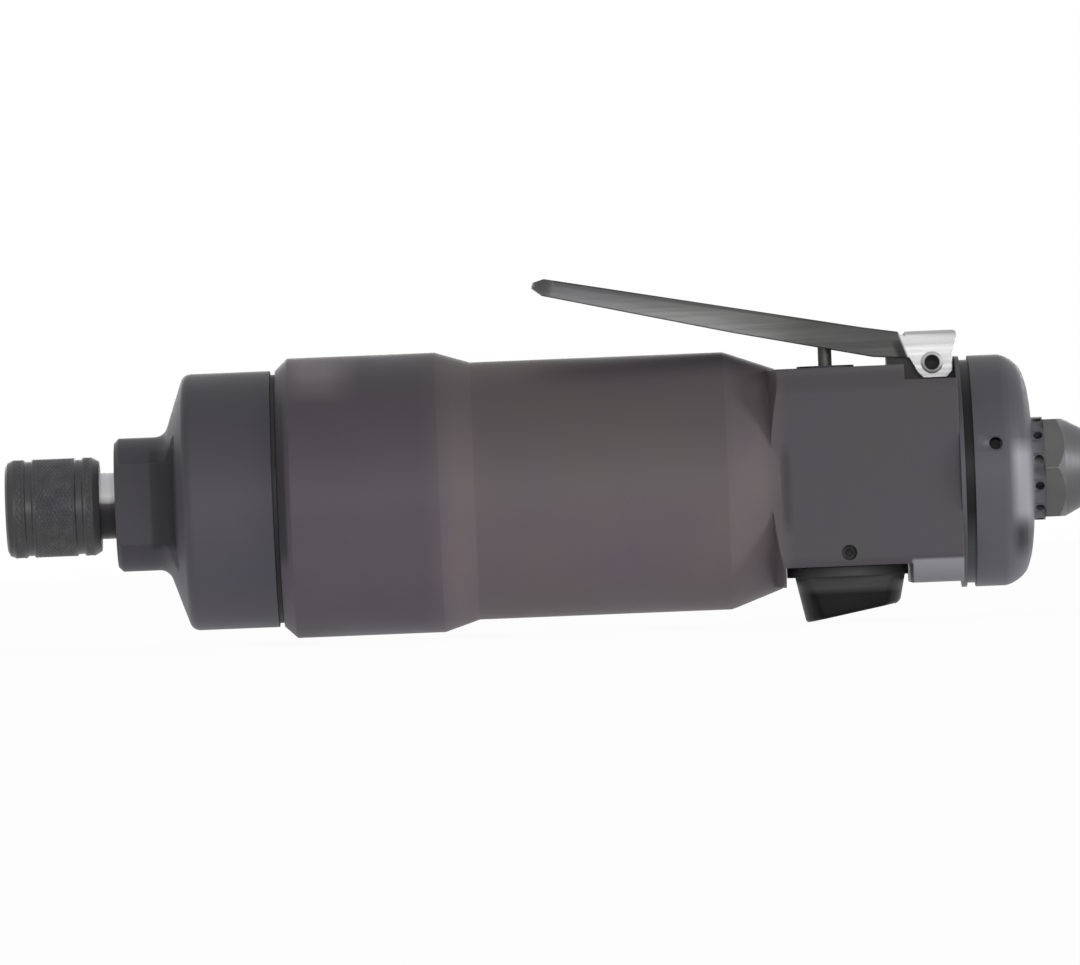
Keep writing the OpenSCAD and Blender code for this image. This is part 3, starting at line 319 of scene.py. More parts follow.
def placed(tree, group, **inputs):
    """A shader group set into a material, with its own values"""
    node = add(tree, "Group", node_tree=group)
    for label, value in inputs.items():
        socket = node.inputs[label.replace("_", " ")]
        if isinstance(value, bpy.types.NodeSocket):
            tree.links.new(value, socket)
        else:
            socket.default_value = value
    return node.outputs


def zones(tree, position, stops):
    """Colours along the tool, from (x in metres, colour) pairs, with soft changes between them"""
    places, tones = zip(*stops)
    low, high = places[0], places[-1]
    along = add(tree, "SeparateXYZ", {0: position}).outputs[0]
    ramp = add(tree, "ValToRGB", {0: spread(tree, along, low, high, 0.0, 1.0)})
    elements = ramp.color_ramp.elements
    while len(elements) < len(stops):
        elements.new(0.5)
    for element, x in zip(elements, places):
        element.position = (x - low) / (high - low)
    for element, tone in zip(elements, tones):
        element.color = tuple(tone)
    return ramp.outputs[0]


class Finish:
    """One material on its way: the shader, and the effects that several finishes share"""

    def __init__(self, name, metallic=0.0, gloss_level=0.5):
        self.material = bpy.data.materials.new(name)
        self.tree = emptied(self.material)
        self.shader = add(self.tree, "BsdfPrincipled",
                          {"Metallic": metallic, "Specular IOR Level": gloss_level})
        add(self.tree, "OutputMaterial", {0: self.shader.outputs[0]})
        self.position = add(self.tree, "TexCoord").outputs["Object"]
        self.base = self.normal = self.patch = self.streak = self.rubbed = self.under = None

    def calc(self, operation, *values):
        return math_node(self.tree, operation, *values)

    def place(self, axis):
        """Place along the tool, across it or up, in metres"""
        return add(self.tree, "SeparateXYZ", {0: self.position}).outputs[axis]

    def distance(self, axes, centre=(0, 0)):
        """Distance from a centre in a plane, in metres"""
        squares = []
        for axis, middle in zip(axes, centre):
            aside = self.calc("SUBTRACT", self.place(axis), middle)
            squares.append(self.calc("MULTIPLY", aside, aside))
        return self.calc("SQRT", self.calc("ADD", *squares))

    def between(self, value, low, high, softness):
        return placed(self.tree, GROUPS["between"], Value=value, Low=low, High=high,
                      Softness=softness)["Mask"]

    def band(self, axis, low, high, softness):
        """A mask between two places on an axis"""
        return self.between(self.place(axis), low, high, softness)

    def fade(self, axis, low, high, at_low, at_high):
        """A value that changes from one place on an axis to another"""
        return spread(self.tree, self.place(axis), low, high, at_low, at_high)

    def touch(self, tone, *masks, share=1.0):
        """Changes the base colour where all the masks meet"""
        for mask in masks:
            share = self.calc("MULTIPLY", mask, share)
        self.base = blend_colours(self.tree, share, self.base, tone)

    def tint(self, base, grey, blue, share=1.0):
        """Sets the base colour to another one times a grey, which may lean to blue"""
        factor = add(self.tree, "CombineColor", {0: grey, 1: grey, 2: blue}).outputs[0]
        self.base = blend_colours(self.tree, share, base, factor, "MULTIPLY")

    def light_by_height(self, share=1.0):
        """Painted light and shade by height: the paint drawn lighter and bluer underneath and
        darker on top, as the light falls
        """
        reach = 19 * MM
        self.tint(self.base, self.fade(UP, -reach, reach, 1.53, 0.61),
                  self.fade(UP, -reach, reach, 1.64, 0.64), share)

    def join(self, value, label):
        self.tree.links.new(value, self.shader.inputs[label])

    def grain(self, base, scale, depth, patches, change):
        """Sets the base colour with soft patches, and adds fine grain to the relief"""
        out = placed(self.tree, GROUPS["grain"], Position=self.position,
                     Grains_per_metre=scale, Patches_per_metre=patches)
        self.patch = out["Patch"]
        self.tint(base, spread(self.tree, self.patch, 0.3, 0.7, 1 - change, 1 + change),
                  spread(self.tree, out["Height"], 0.3, 0.7, 1 - change / 2, 1 + change / 2))
        self.raise_by(out["Height"], depth)

    def marks(self, depth, along, across, up):
        """Adds marks that run one way to the relief"""
        out = placed(self.tree, GROUPS["marks"], Position=self.position, Along=along,
                     Across=across, Up=up)
        self.streak = out["Height"]
        self.raise_by(self.streak, depth)

    def worn(self, radius, share, tone):
        """Rounds the edges in the light and shows the tone below where they are rubbed"""
        out = placed(self.tree, GROUPS["wear"], Position=self.position, Radius=radius)
        self.normal = out["Rounded"]
        self.rubbed = self.calc("MULTIPLY", out["Mask"], share)
        self.under = tone

    def raise_by(self, height, depth):
        self.normal = add(self.tree, "Bump", {"Height": height, "Distance": depth,
                                              "Strength": 1.0, "Normal": self.normal}).outputs[0]

    def done(self, low, high):
        """Joins colour, roughness between low and high, and relief to the shader"""
        self.join(blend_colours(self.tree, self.rubbed, self.base, self.under), "Base Color")
        vary = self.patch if self.streak is None else self.streak
        self.join(spread(self.tree, vary, 0.3, 0.7, low, high), "Roughness")
        self.join(self.normal, "Normal")
        return self.material


def paint(name, base, touches, gloss=(0.46, 0.56), light_by_height_until=None, peel=0.025 * MM,
          rounding=0.35 * MM):
    """Baked paint over metal, with a fine orange peel, and painted light and shade by height in
    front of a place. The base is one colour, or colours along the tool as zones takes them."""
    finish = Finish(name, gloss_level=0.25)
    finish.worn(rounding, 0.35, shade(120, 118, 120))
    if isinstance(base, list):
        base = zones(finish.tree, finish.position, base)
    finish.grain(base, 1400.0, peel, 55.0, 0.07)
    # Painted light and shade: the paint drawn lighter and bluer underneath and darker on top
    if light_by_height_until is None:
        finish.light_by_height()
    else:
        finish.light_by_height(finish.fade(ALONG, light_by_height_until - 8 * MM, light_by_height_until, 1.0, 0.1))
    touches(finish)
    return finish.done(*gloss)


def steel(name, tone, gloss, change=0.08, marks=(2600.0, 30.0, 30.0), depth=0.008 * MM,
          metallic=1.0, share=0.4, under=shade(200, 200, 202), touches=None):
    """Machined steel, with the marks of its last tool"""
    finish = Finish(name, metallic)
    finish.worn(0.2 * MM, share, under)
    finish.grain(tuple(tone), 3000.0, 0.004 * MM, 120.0, change)
    if touches:
        touches(finish)
    finish.marks(depth, *marks)
    return finish.done(*gloss)


def housing_paint(colours):
    """Warm grey paint, lighter where the hand rubs it and darker round the valve; the cones, which
    face the rear, are drawn lighter as painted light
    """
    start, handle_start = SHOULDER_START, HANDLE_END - 31 * MM
    # The two cones take the lighter cone paint as painted light
    stops = [(start, colours.shoulder_paint), (start + 25 * MM, colours.shoulder_paint),
             (start + 31 * MM, colours.lit_cone_paint), (start + 38 * MM, colours.grip_paint),
             (start + 76 * MM, colours.grip_paint), (start + 84 * MM, colours.lit_cone_paint),
             (start + 89 * MM, colours.handle_paint), (start + 120 * MM, colours.handle_paint)]

    def painted_light_and_shade(finish):
        """Painted light and shade: a painted highlight on the lower edge behind the knob, lit from
        below, and on the top of the shoulder's front, and painted shade in the corners in front of
        the shoulder and of the handle"""
        # Painted highlight on the lower edge behind the knob, where light from below falls
        finish.touch(shade(152, 151, 156), finish.band(UP, -20 * MM, -14.9 * MM, 0.5 * MM),
                     finish.band(ALONG, HANDLE_END - 9 * MM, HANDLE_END, 0.4 * MM), share=0.9)
        # Painted highlight on the top of the shoulder's front, on the near side
        patchy = spread(finish.tree, finish.patch, 0.35, 0.6, 0.45, 1.0)
        finish.touch(shade(110, 104, 109), patchy, finish.band(UP, 18.5 * MM, 26 * MM, 5 * MM),
                     finish.band(ACROSS, -25 * MM, 0, 4 * MM),
                     finish.band(ALONG, start + 2 * MM, start + 12 * MM, 6 * MM), share=0.8)
        # Painted shade in the seam's corner in front of the shoulder
        finish.touch(shade(38, 36, 38), finish.band(UP, -10.8 * MM, 17.7 * MM, 3 * MM),
                     finish.band(ALONG, start - 1 * MM, start + 1.4 * MM, 0.5 * MM), share=0.75)
        # Painted shade in the corner where the handle starts
        finish.touch(shade(52, 49, 52), finish.band(UP, -8.5 * MM, 5 * MM, 3 * MM),
                     finish.band(ALONG, handle_start, handle_start + 1.4 * MM, 0.9 * MM),
                     share=0.7)

    return paint("housing_paint", stops, painted_light_and_shade, light_by_height_until=handle_start + 2 * MM)


def case_paint(colours):
    """Blue-grey paint, darker on the collar"""
    start = CASE_START
    stops = [(start, colours.collar_paint), (start + 6 * MM, colours.collar_paint),
             (start + 11 * MM, colours.case_paint), (start + 30 * MM, colours.case_paint)]

    def shade_in_hollow(finish):
        """Painted shade in the hollow where the wrench flats end"""
        finish.touch(shade(38, 36, 40),
                     finish.band(ALONG, start + 6.2 * MM, start + 10.9 * MM, 0.6 * MM),
                     finish.band(UP, -7.8 * MM, 9.3 * MM, 1.2 * MM), share=0.85)

    return paint("case_paint", stops, shade_in_hollow)


def cap_paint(colours):
    """Grey paint, glossier than the housing's"""
    def painted_light_and_shade(finish):
        """Painted shade in the groove, fading out towards the bottom, and in the spanner hole, and
        on the near side a painted highlight on the dome with painted shade below it
        """
        # Painted shade in the groove, fading out towards the bottom
        finish.touch(shade(8, 8, 9),
                     finish.band(ALONG, CAP_GROOVE[0] + 0.06 * MM, CAP_GROOVE[1] - 0.06 * MM,
                                 0.05 * MM),
                     finish.fade(UP, -13 * MM, -7 * MM, 0.3, 1.0))
        # Painted shade inside the spanner hole
        inside = finish.between(finish.distance((UP, ACROSS)), 0, CAP_RADIUS - 0.4 * MM,
                                0.1 * MM)
        finish.touch(shade(12, 12, 13), inside,
                     finish.band(ALONG, HANDLE_END + 3 * MM, HANDLE_END + 7 * MM, 0.1 * MM))
        near = finish.band(ACROSS, -25 * MM, 0, 4 * MM)
        dome = finish.band(ALONG, HANDLE_END + 9.2 * MM, HANDLE_END + 12.6 * MM, 1.7 * MM)
        # Painted highlight on the near side of the dome
        finish.touch(shade(160, 159, 164), near, dome,
                     finish.band(UP, -8.8 * MM, 4 * MM, 3.2 * MM), share=0.78)
        # Painted shade below the dome's painted highlight
        finish.touch(shade(30, 29, 34), near, dome,
                     finish.band(UP, -14.5 * MM, -9.6 * MM, 3.2 * MM), share=0.85)

    return paint("cap_paint", tuple(colours.cap_paint), painted_light_and_shade, (0.42, 0.52),
                 peel=0.01 * MM, rounding=0.1 * MM)


def lever_steel(colours):
    """Pressed steel, dull on the arm, darker towards the pin, and rubbed bright on the ears, with
    painted light and shade in bands along the arm and a painted shadow in the gap in front of the
    ears
    """
    finish = Finish("lever_steel", gloss_level=0.2)
    finish.worn(0.15 * MM, 0.4, tuple(colours.bright_steel))
    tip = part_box("throttle_lever")[0].x
    arm = zones(finish.tree, finish.position,
                [(tip, colours.lever_tip), (tip + 8 * MM, colours.lever_arm),
                 (PIN.x - 38 * MM, colours.lever_arm), (PIN.x - 21 * MM, colours.lever_root),
                 (PIN.x - 4 * MM, colours.lever_root)])
    finish.grain(arm, 2500.0, 0.006 * MM, 90.0, 0.08)

    arm_slope, edge_slope = 0.193, 0.36
    front = finish.fade(ALONG, PIN.x - 38 * MM, PIN.x - 24 * MM, 1.0, 0.0)
    above_arm = finish.calc("ADD", finish.place(UP),
                            finish.calc("MULTIPLY", finish.place(ALONG), arm_slope))
    # Painted light and shade along the front of the arm: a lighter band low on it and a darker
    # band high on it
    finish.touch(shade(126, 126, 127), front,
                 spread(finish.tree, above_arm, 14.2 * MM, 16.6 * MM, 1.0, 0.0), share=0.7)
    finish.touch(shade(70, 70, 71), front,
                 spread(finish.tree, above_arm, 16.0 * MM, 18.2 * MM, 0.0, 1.0), share=0.6)

    past = finish.calc("ADD", finish.place(ALONG),
                       finish.calc("MULTIPLY", finish.place(UP), edge_slope))
    edge = PIN.x + edge_slope * PIN.z - 3.8 * MM
    # Painted shadow in the gap in front of the ears: drawn near black and not metallic
    gap_shadow = finish.calc("MULTIPLY", finish.between(past, edge - 1.6 * MM, edge, 0.8 * MM),
                      finish.band(UP, 16 * MM, 22.6 * MM, 2 * MM))
    finish.touch(shade(14, 14, 15), gap_shadow)
    bright = spread(finish.tree, past, edge - 0.2 * MM, edge + 0.2 * MM, 0.0, 1.0)
    finish.touch(tuple(colours.bright_ears), bright)
    finish.marks(0.006 * MM, 40.0, 2200.0, 2200.0)
    finish.join(finish.calc("MULTIPLY", spread(finish.tree, bright, 0.0, 1.0, 0.5, 0.9),
                            finish.calc("SUBTRACT", 1.0, gap_shadow)), "Metallic")
    return finish.done(0.36, 0.48)


def dark_reflection_on_neck(finish):
    """Painted dark reflection along the lower half of the anvil's neck"""
    uneven = spread(finish.tree, finish.patch, 0.3, 0.7, -0.3 * MM, 0.3 * MM)
    height = finish.calc("ADD", finish.place(UP), uneven)
    finish.touch(shade(48, 46, 48), spread(finish.tree, height, 0.4 * MM, 1.9 * MM, 1.0, 0.0))


def pin_steel(colours):
    """The lever pin: its rim rubbed as bright as the ears, and dark in the dimple"""
    finish = Finish("pin_steel", 0.8, 0.2)
    finish.worn(0.1 * MM, 0.3, shade(180, 180, 180))
    finish.grain(tuple(colours.bright_ears), 3000.0, 0.004 * MM, 120.0, 0.08)
    radius = finish.distance((ALONG, UP), (PIN.x, PIN.z))
    finish.touch(shade(30, 30, 31), finish.between(radius, -1 * MM, 1.4 * MM, 0.25 * MM))
    return finish.done(0.4, 0.5)


def cast_finish(name, tone, scale, depth, patches, change, gloss, metallic=0.0):
    """Cast or moulded finish without tool marks"""
    finish = Finish(name, metallic)
    finish.worn(0.25 * MM, 0.25, tuple(min(1, 1.6 * part) for part in tone[:3]) + (1,))
    finish.grain(tone, scale, depth, patches, change)
    return finish.done(*gloss)


def knob_plastic(colours):
    """Moulded black plastic, drawn lighter on top, and darker towards the bottom as painted shade
    """
    finish = Finish("knob_plastic", gloss_level=0.12)
    finish.worn(0.25 * MM, 0.25, shade(52, 52, 54))
    finish.grain(tuple(colours.knob_plastic), 2200.0, 0.018 * MM, 150.0, 0.08)
    # Drawn lighter on top, and darker towards the bottom as painted shade
    finish.touch(shade(90, 90, 91), finish.fade(UP, -20.5 * MM, -19.3 * MM, 0.0, 1.0), share=0.9)
    finish.touch(shade(6, 6, 7), finish.fade(UP, -25 * MM, -22 * MM, 1.0, 0.0), share=0.8)
    return finish.done(0.36, 0.46)


def vane_composite(colours):
    """Cloth and resin in thin layers, cut across"""
    finish = Finish("vane_composite")
    finish.worn(0.1 * MM, 0.3, shade(150, 110, 70))
    finish.grain(shade(128, 92, 58), 2200.0, 0.01 * MM, 200.0, 0.15)
    finish.marks(0.015 * MM, 60.0, 4500.0, 4500.0)
    return finish.done(0.5, 0.65)


MAKERS = {
    "housing_paint": housing_paint,
    "case_paint": case_paint,
    "cap_paint": cap_paint,
    "blackened_steel": lambda c: steel("blackened_steel", c.black_steel, (0.34, 0.48),
                                       metallic=0.6, under=shade(120, 120, 124)),
    "screw_steel": lambda c: steel("screw_steel", shade(46, 46, 48), (0.4, 0.55),
                                   metallic=0.6, under=shade(120, 120, 124)),
    "anvil_steel": lambda c: steel("anvil_steel", c.bright_steel, (0.34, 0.44), 0.06,
                                   share=0.3, touches=dark_reflection_on_neck),
    "mechanism_steel": lambda c: steel("mechanism_steel", shade(150, 147, 146), (0.28, 0.42)),
    "bearing_steel": lambda c: steel("bearing_steel", shade(205, 205, 208), (0.14, 0.24)),
    "ball_steel": lambda c: steel("ball_steel", shade(228, 228, 230), (0.05, 0.1), 0.02,
                                  (300.0, 300.0, 300.0), 0.001 * MM),
    "spring_steel": lambda c: steel("spring_steel", shade(190, 190, 194), (0.25, 0.36)),
    "inlet_steel": lambda c: steel("inlet_steel", c.inlet_steel, (0.36, 0.48), 0.1,
                                   metallic=0.55, under=shade(170, 170, 172)),
    "lever_steel": lever_steel,
    "plunger_steel": lambda c: steel("plunger_steel", shade(92, 92, 93), (0.46, 0.56),
                                     metallic=0.8, share=0.1),
    "pin_steel": pin_steel,
    "motor_iron": lambda c: cast_finish("motor_iron", shade(140, 140, 142), 1800.0, 0.03 * MM,
                                        90.0, 0.1, (0.42, 0.58), 0.9),
    "bearing_bronze": lambda c: steel("bearing_bronze", shade(186, 146, 90), (0.25, 0.38),
                                      under=shade(225, 190, 130)),
    "seal_rubber": lambda c: cast_finish("seal_rubber", shade(30, 29, 31), 1600.0, 0.02 * MM,
                                         200.0, 0.1, (0.6, 0.75)),
    "knob_plastic": knob_plastic,
    "vane_composite": vane_composite,
}
FINISH_OF = {"throttle_plunger": "plunger_steel", "lever_pin": "pin_steel"}
GROUPS = {}
MADE = {}


def material_of(node):
    """The material of a node's finish, made the first time that a piece asks for it"""
    if not GROUPS:
        GROUPS.update(grain=grain_group(), marks=marks_group(), wear=wear_group(),
                      between=between_group())
        for plain in bpy.data.materials:
            plain.name = "plain_" + plain.name
    name = FINISH_OF.get(node, SLOT_OF[node])
    if name not in MADE:
        MADE[name] = MAKERS[name](bpy.context.scene.screwdriver_colours)
    return MADE[name]


def dress(*nodes):
    """Gives CAD nodes the material of their slot"""
    for name in nodes:
        mesh = NODES[name].data
        mesh.materials.clear()
        mesh.materials.append(material_of(name))


# Meshes

def settle(bm, name, body, node, smooth=28, flat_faces=()):
    """Makes a finished piece of a bmesh: it takes the material of a node's slot and rides on a
    body
    """
    for face in bm.faces:
        face.smooth = True
    for face in flat_faces:
        face.smooth = False
    mesh = bpy.data.meshes.new(name)
    bm.to_mesh(mesh)
    bm.free()
    mesh.set_sharp_from_angle(angle=math.radians(smooth))
    piece = bpy.data.objects.new(name, mesh)
    bpy.context.scene.collection.objects.link(piece)
    mesh.materials.append(material_of(node))
    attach(piece, body)
    return piece


def joined_copy(node):
    """A bmesh of a CAD node with its corners joined and its flat faces whole"""
    bm = bmesh.new()
    bm.from_mesh(NODES[node].data)
    bmesh.ops.remove_doubles(bm, verts=bm.verts[:], dist=2e-6)
    bmesh.ops.dissolve_limit(bm, angle_limit=math.radians(0.6), verts=bm.verts[:],
                             edges=bm.edges[:], use_dissolve_boundaries=False)
    return bm


def round_over(bm, edges, radius, segments):
    bmesh.ops.bevel(bm, geom=edges, offset=radius, offset_type="OFFSET", segments=segments,
                    profile=0.5, affect="EDGES", clamp_overlap=False, material=-1)


def sharp_edges(bm, least_length, angle=35):
    return [edge for edge in bm.edges if edge.is_manifold and edge.calc_length() > least_length
            and edge.calc_face_angle(0) > math.radians(angle)]


class Piece:
    """What every operator here shares"""
    bl_options = {"REGISTER", "UNDO"}


class SCREWDRIVER_OT_studio(Piece, bpy.types.Operator):
    """Sets the camera square to the tool's left side, soft lamps and a pale floor"""
    bl_idname = "screwdriver.studio"
    bl_label = "Studio"

    def execute(self, context):
        scene, studio = context.scene, context.scene.screwdriver_studio
        camera = bpy.data.cameras.new("Camera")
        camera.sensor_fit = "HORIZONTAL"
        camera.lens = camera.sensor_width * studio.distance / studio.view_width
        camera.clip_end = 20
        lean = studio.tilt
        seat = Matrix(((math.cos(lean), math.sin(lean), 0, studio.middle_x),
                       (0, 0, -1, -studio.distance),
                       (-math.sin(lean), math.cos(lean), 0, studio.middle_z), (0, 0, 0, 1)))
        self.stand(scene, "Camera", camera, seat)
        scene.camera = bpy.data.objects["Camera"]
        middle = Vector((studio.middle_x, 0, 0))
        for name, power, size, offset in (
                ("Front lamp", studio.front_power, (2.6, 0.4), (0.4, -2.4, 0.14)),
                ("Side lamp", studio.side_power, (0.4, 0.5), (1.25, -0.4, 0.24)),
                ("Back lamp", studio.back_power, (3.2, 0.7), (0, 3.2, 0.6))):
            self.lamp(scene, name, power, size, Vector(offset), middle)
        self.room(scene, studio.room_light)
        bm = bmesh.new()
        bmesh.ops.create_grid(bm, x_segments=8, y_segments=8, size=3,
                              matrix=Matrix.Translation((0, 0, CAD_BOX[0][2] - 0.05 * MM)))
        mesh = bpy.data.meshes.new("Floor")
        bm.to_mesh(mesh)
        bm.free()
        mesh.materials.append(self.floor())
        floor = bpy.data.objects.new("Floor", mesh)
        scene.collection.objects.link(floor)
        scene.view_settings.view_transform = "Standard"
        return {"FINISHED"}

    def stand(self, scene, name, data, matrix):
        thing = bpy.data.objects.new(name, data)
        thing.matrix_world = matrix
        scene.collection.objects.link(thing)

    def lamp(self, scene, name, power, size, offset, aim):
        """A soft lamp that shines at a place from an offset"""
        light = bpy.data.lights.new(name, "AREA")
        light.shape, light.energy = "ELLIPSE", power
        light.size, light.size_y = size
        turn = (-offset).to_track_quat("-Z", "Y").to_matrix().to_4x4()
        self.stand(scene, name, light, Matrix.Translation(aim + offset) @ turn)

    def room(self, scene, strength):
        """White to the camera and in reflections, and an even light otherwise"""
        world = bpy.data.worlds.new("Room")
        tree = emptied(world)
        power = spread(tree, looked_at(tree), 0.0, 1.0, strength, 1.0)
        glow = add(tree, "Background", {"Color": (1, 1, 1, 1), "Strength": power})
        add(tree, "OutputWorld", {0: glow.outputs[0]})
        scene.world = world

    def floor(self):
        """Pale floor that shows white, and keeps a share of the tool's shadow"""
        material = bpy.data.materials.new("Floor")
        tree = emptied(material)
        share = math_node(tree, "MULTIPLY", looked_at(tree), FLOOR_WHITE)
        grain = add(tree, "TexNoise", {"Vector": add(tree, "TexCoord").outputs["Object"],
                                       "Scale": 30.0, "Detail": 3.0})
        tone = spread(tree, grain.outputs[0], 0.3, 0.7, 0.86, 0.9)
        matt = add(tree, "BsdfDiffuse", {
            "Color": add(tree, "CombineColor", {0: tone, 1: tone, 2: tone}).outputs[0]})
        white = add(tree, "Emission", {"Color": (1, 1, 1, 1), "Strength": 1.0})
        mixed = add(tree, "MixShader", {0: share, 1: matt.outputs[0], 2: white.outputs[0]})
        add(tree, "OutputMaterial", {0: mixed.outputs[0]})
        return material


class SCREWDRIVER_OT_knurled_sleeve(Piece, bpy.types.Operator):
    """Turns the sleeve with three knurled bands between plain grooves"""
    bl_idname = "screwdriver.knurled_sleeve"
    bl_label = "Knurled sleeve"

    def execute(self, context):
        sizes = context.scene.screwdriver_sizes
        front, outer = SLEEVE_LOW.x, (SLEEVE_HIGH.y - SLEEVE_LOW.y) / 2
        outline, knurled = self.section(sizes, outer)
        bm = bmesh.new()
        corners = [bm.verts.new((front + x, 0, radius)) for x, radius in outline]
        edges = [bm.edges.new(pair) for pair in zip(corners, corners[1:] + corners[:1])]
        rows = {}
        for first in knurled:
            start, end = front + outline[first][0], front + outline[first + 1][0]
            cuts = max(1, round((end - start) / (0.55 * sizes.knurl_pitch)) - 1)
            bmesh.ops.subdivide_edges(bm, edges=[edges[first]], cuts=cuts)
            rows[(start, end)] = cuts + 1
        steps = 2 * round(math.pi * outer / sizes.knurl_pitch)
        bmesh.ops.spin(bm, geom=bm.verts[:] + bm.edges[:], cent=(0, 0, 0), axis=(1, 0, 0),
                       angle=2 * math.pi, steps=steps, use_merge=True)
        bmesh.ops.remove_doubles(bm, verts=bm.verts[:], dist=1e-6)
        flat = self.knurl(bm, rows, steps, outer - sizes.groove_depth, sizes.knurl_height)
        piece = settle(bm, "knurled_sleeve", "sleeve", "chuck_sleeve", flat_faces=flat)
        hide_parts("chuck_sleeve")
        return {"FINISHED"}

    def section(self, sizes, outer):
        """The wall's outline as (place, radius) pairs, and where its knurled edges start"""
        dip, corner = outer - sizes.groove_depth, sizes.sleeve_corner
        rim, bevel, step = outer - 0.15 * MM, 0.25 * MM, 0.3 * MM
        bands = [(corner + 0.2 * MM, 3.2 * MM), (4.9 * MM, 12 * MM), (13.7 * MM, 15.2 * MM)]
        inside = [(16.4, 5.85), (15.3, 5.85), (15.3, 5.55), (14.1, 5.55), (14.1, 6.65),
                  (12.4, 6.65), (9, 5.55), (7.9, 5.55), (7.9, 7.3), (0.3, 7.3)]
        outline = [(0, outer - corner), (0.35 * corner, outer - 0.35 * corner)]
        knurled = []
        for place, (start, end) in enumerate(bands):
            knurled.append(len(outline) + 1)
            outline += [(start - bevel, rim), (start, outer), (end, outer), (end + bevel, rim)]
            if place + 1 < len(bands):
                outline += [(end + step, dip), (bands[place + 1][0] - step, dip)]
        outline += [(16.4 * MM, outer - 0.7 * MM)] + [(x * MM, r * MM) for x, r in inside]
        return outline, knurled

    def knurl(self, bm, rows, steps, least_radius, height):
        """Sinks every second vertex of the knurled rows, and returns the knurl's faces"""
        knurled = set()
        for vert in bm.verts:
            radius = math.hypot(vert.co.y, vert.co.z)
            turn = round(math.atan2(vert.co.y, vert.co.z) / (2 * math.pi) * steps)
            for (start, end), count in rows.items():
                row = (vert.co.x - start) / (end - start) * count
                if 0.5 < row < count - 0.5 and radius > least_radius:
                    knurled.add(vert)
                    if (round(row) + turn) % 2:
                        lower = 1 - height / radius
                        vert.co.y *= lower
                        vert.co.z *= lower
        bmesh.ops.recalc_face_normals(bm, faces=bm.faces[:])
        bmesh.ops.triangulate(bm, faces=[face for face in bm.faces
                                         if all(vert in knurled for vert in face.verts)])
        return [face for face in bm.faces if all(vert in knurled for vert in face.verts)]


class SCREWDRIVER_OT_pressed_lever(Piece, bpy.types.Operator):
    """Rounds the lever's folds and edges, as pressed sheet has them"""
    bl_idname = "screwdriver.pressed_lever"
    bl_label = "Pressed lever"

    def execute(self, context):
        sizes = context.scene.screwdriver_sizes
        bm = joined_copy("throttle_lever")
        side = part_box("throttle_lever")[1].y
        folds = [edge for edge in sharp_edges(bm, 4 * MM)
                 if all(abs(abs(vert.co.y) - side) < 0.01 * MM for vert in edge.verts)
                 and any(face.normal.z > 0.8 for face in edge.link_faces)]
        if not folds:
            raise RuntimeError("the lever has no long folds")
        round_over(bm, folds, sizes.lever_fold, 4)
        piece = settle(bm, "pressed_lever", "lever", "throttle_lever")
        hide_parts("throttle_lever")
        return {"FINISHED"}


class SCREWDRIVER_OT_moulded_knob(Piece, bpy.types.Operator):
    """Rounds the reverse knob's edges, as a moulding has them"""
    bl_idname = "screwdriver.moulded_knob"
    bl_label = "Moulded knob"

    def execute(self, context):
        sizes = context.scene.screwdriver_sizes
        bm = joined_copy("reverse_knob")
        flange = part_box("reverse_knob")[1].z - 2 * MM
        grip = [edge for edge in sharp_edges(bm, 0.2 * MM, 30)
                if all(vert.co.z < flange for vert in edge.verts)]
        if not grip:
            raise RuntimeError("the knob has no grip edges")
        round_over(bm, grip, sizes.knob_round, 3)
        piece = settle(bm, "moulded_knob", "reverse", "reverse_knob")
        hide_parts("reverse_knob")
        return {"FINISHED"}


class SCREWDRIVER_OT_inlet_thread(Piece, bpy.types.Operator):
    """Winds the thread's crests inside the inlet's hole"""
    bl_idname = "screwdriver.inlet_thread"
    bl_label = "Inlet thread"

    def execute(self, context):
        sizes = context.scene.screwdriver_sizes
        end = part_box("inlet_bushing")[1].x
        bore, pitch = 5.9 * MM, sizes.thread_pitch
        crest, foot = bore - sizes.thread_height, bore + 0.08 * MM
        turns, around = 8, 48
        start = end - 1.2 * MM - pitch * turns
        bm = bmesh.new()
        profile = ((-0.42, foot), (-0.08, crest), (0.08, crest), (0.42, foot))
        first = bm.faces.new([bm.verts.new((start + share * pitch, 0, radius))
                              for share, radius in profile])
        made = bmesh.ops.spin(bm, geom=[first], cent=(0, 0, 0), axis=(1, 0, 0),
                              dvec=(pitch / around, 0, 0), angle=2 * math.pi * turns,
                              steps=turns * around, use_duplicate=False)
        if not made["geom_last"]:
            raise RuntimeError("the thread was not wound")
        bmesh.ops.recalc_face_normals(bm, faces=bm.faces[:])
        settle(bm, "inlet_thread", "housing", "inlet_bushing")
        return {"FINISHED"}


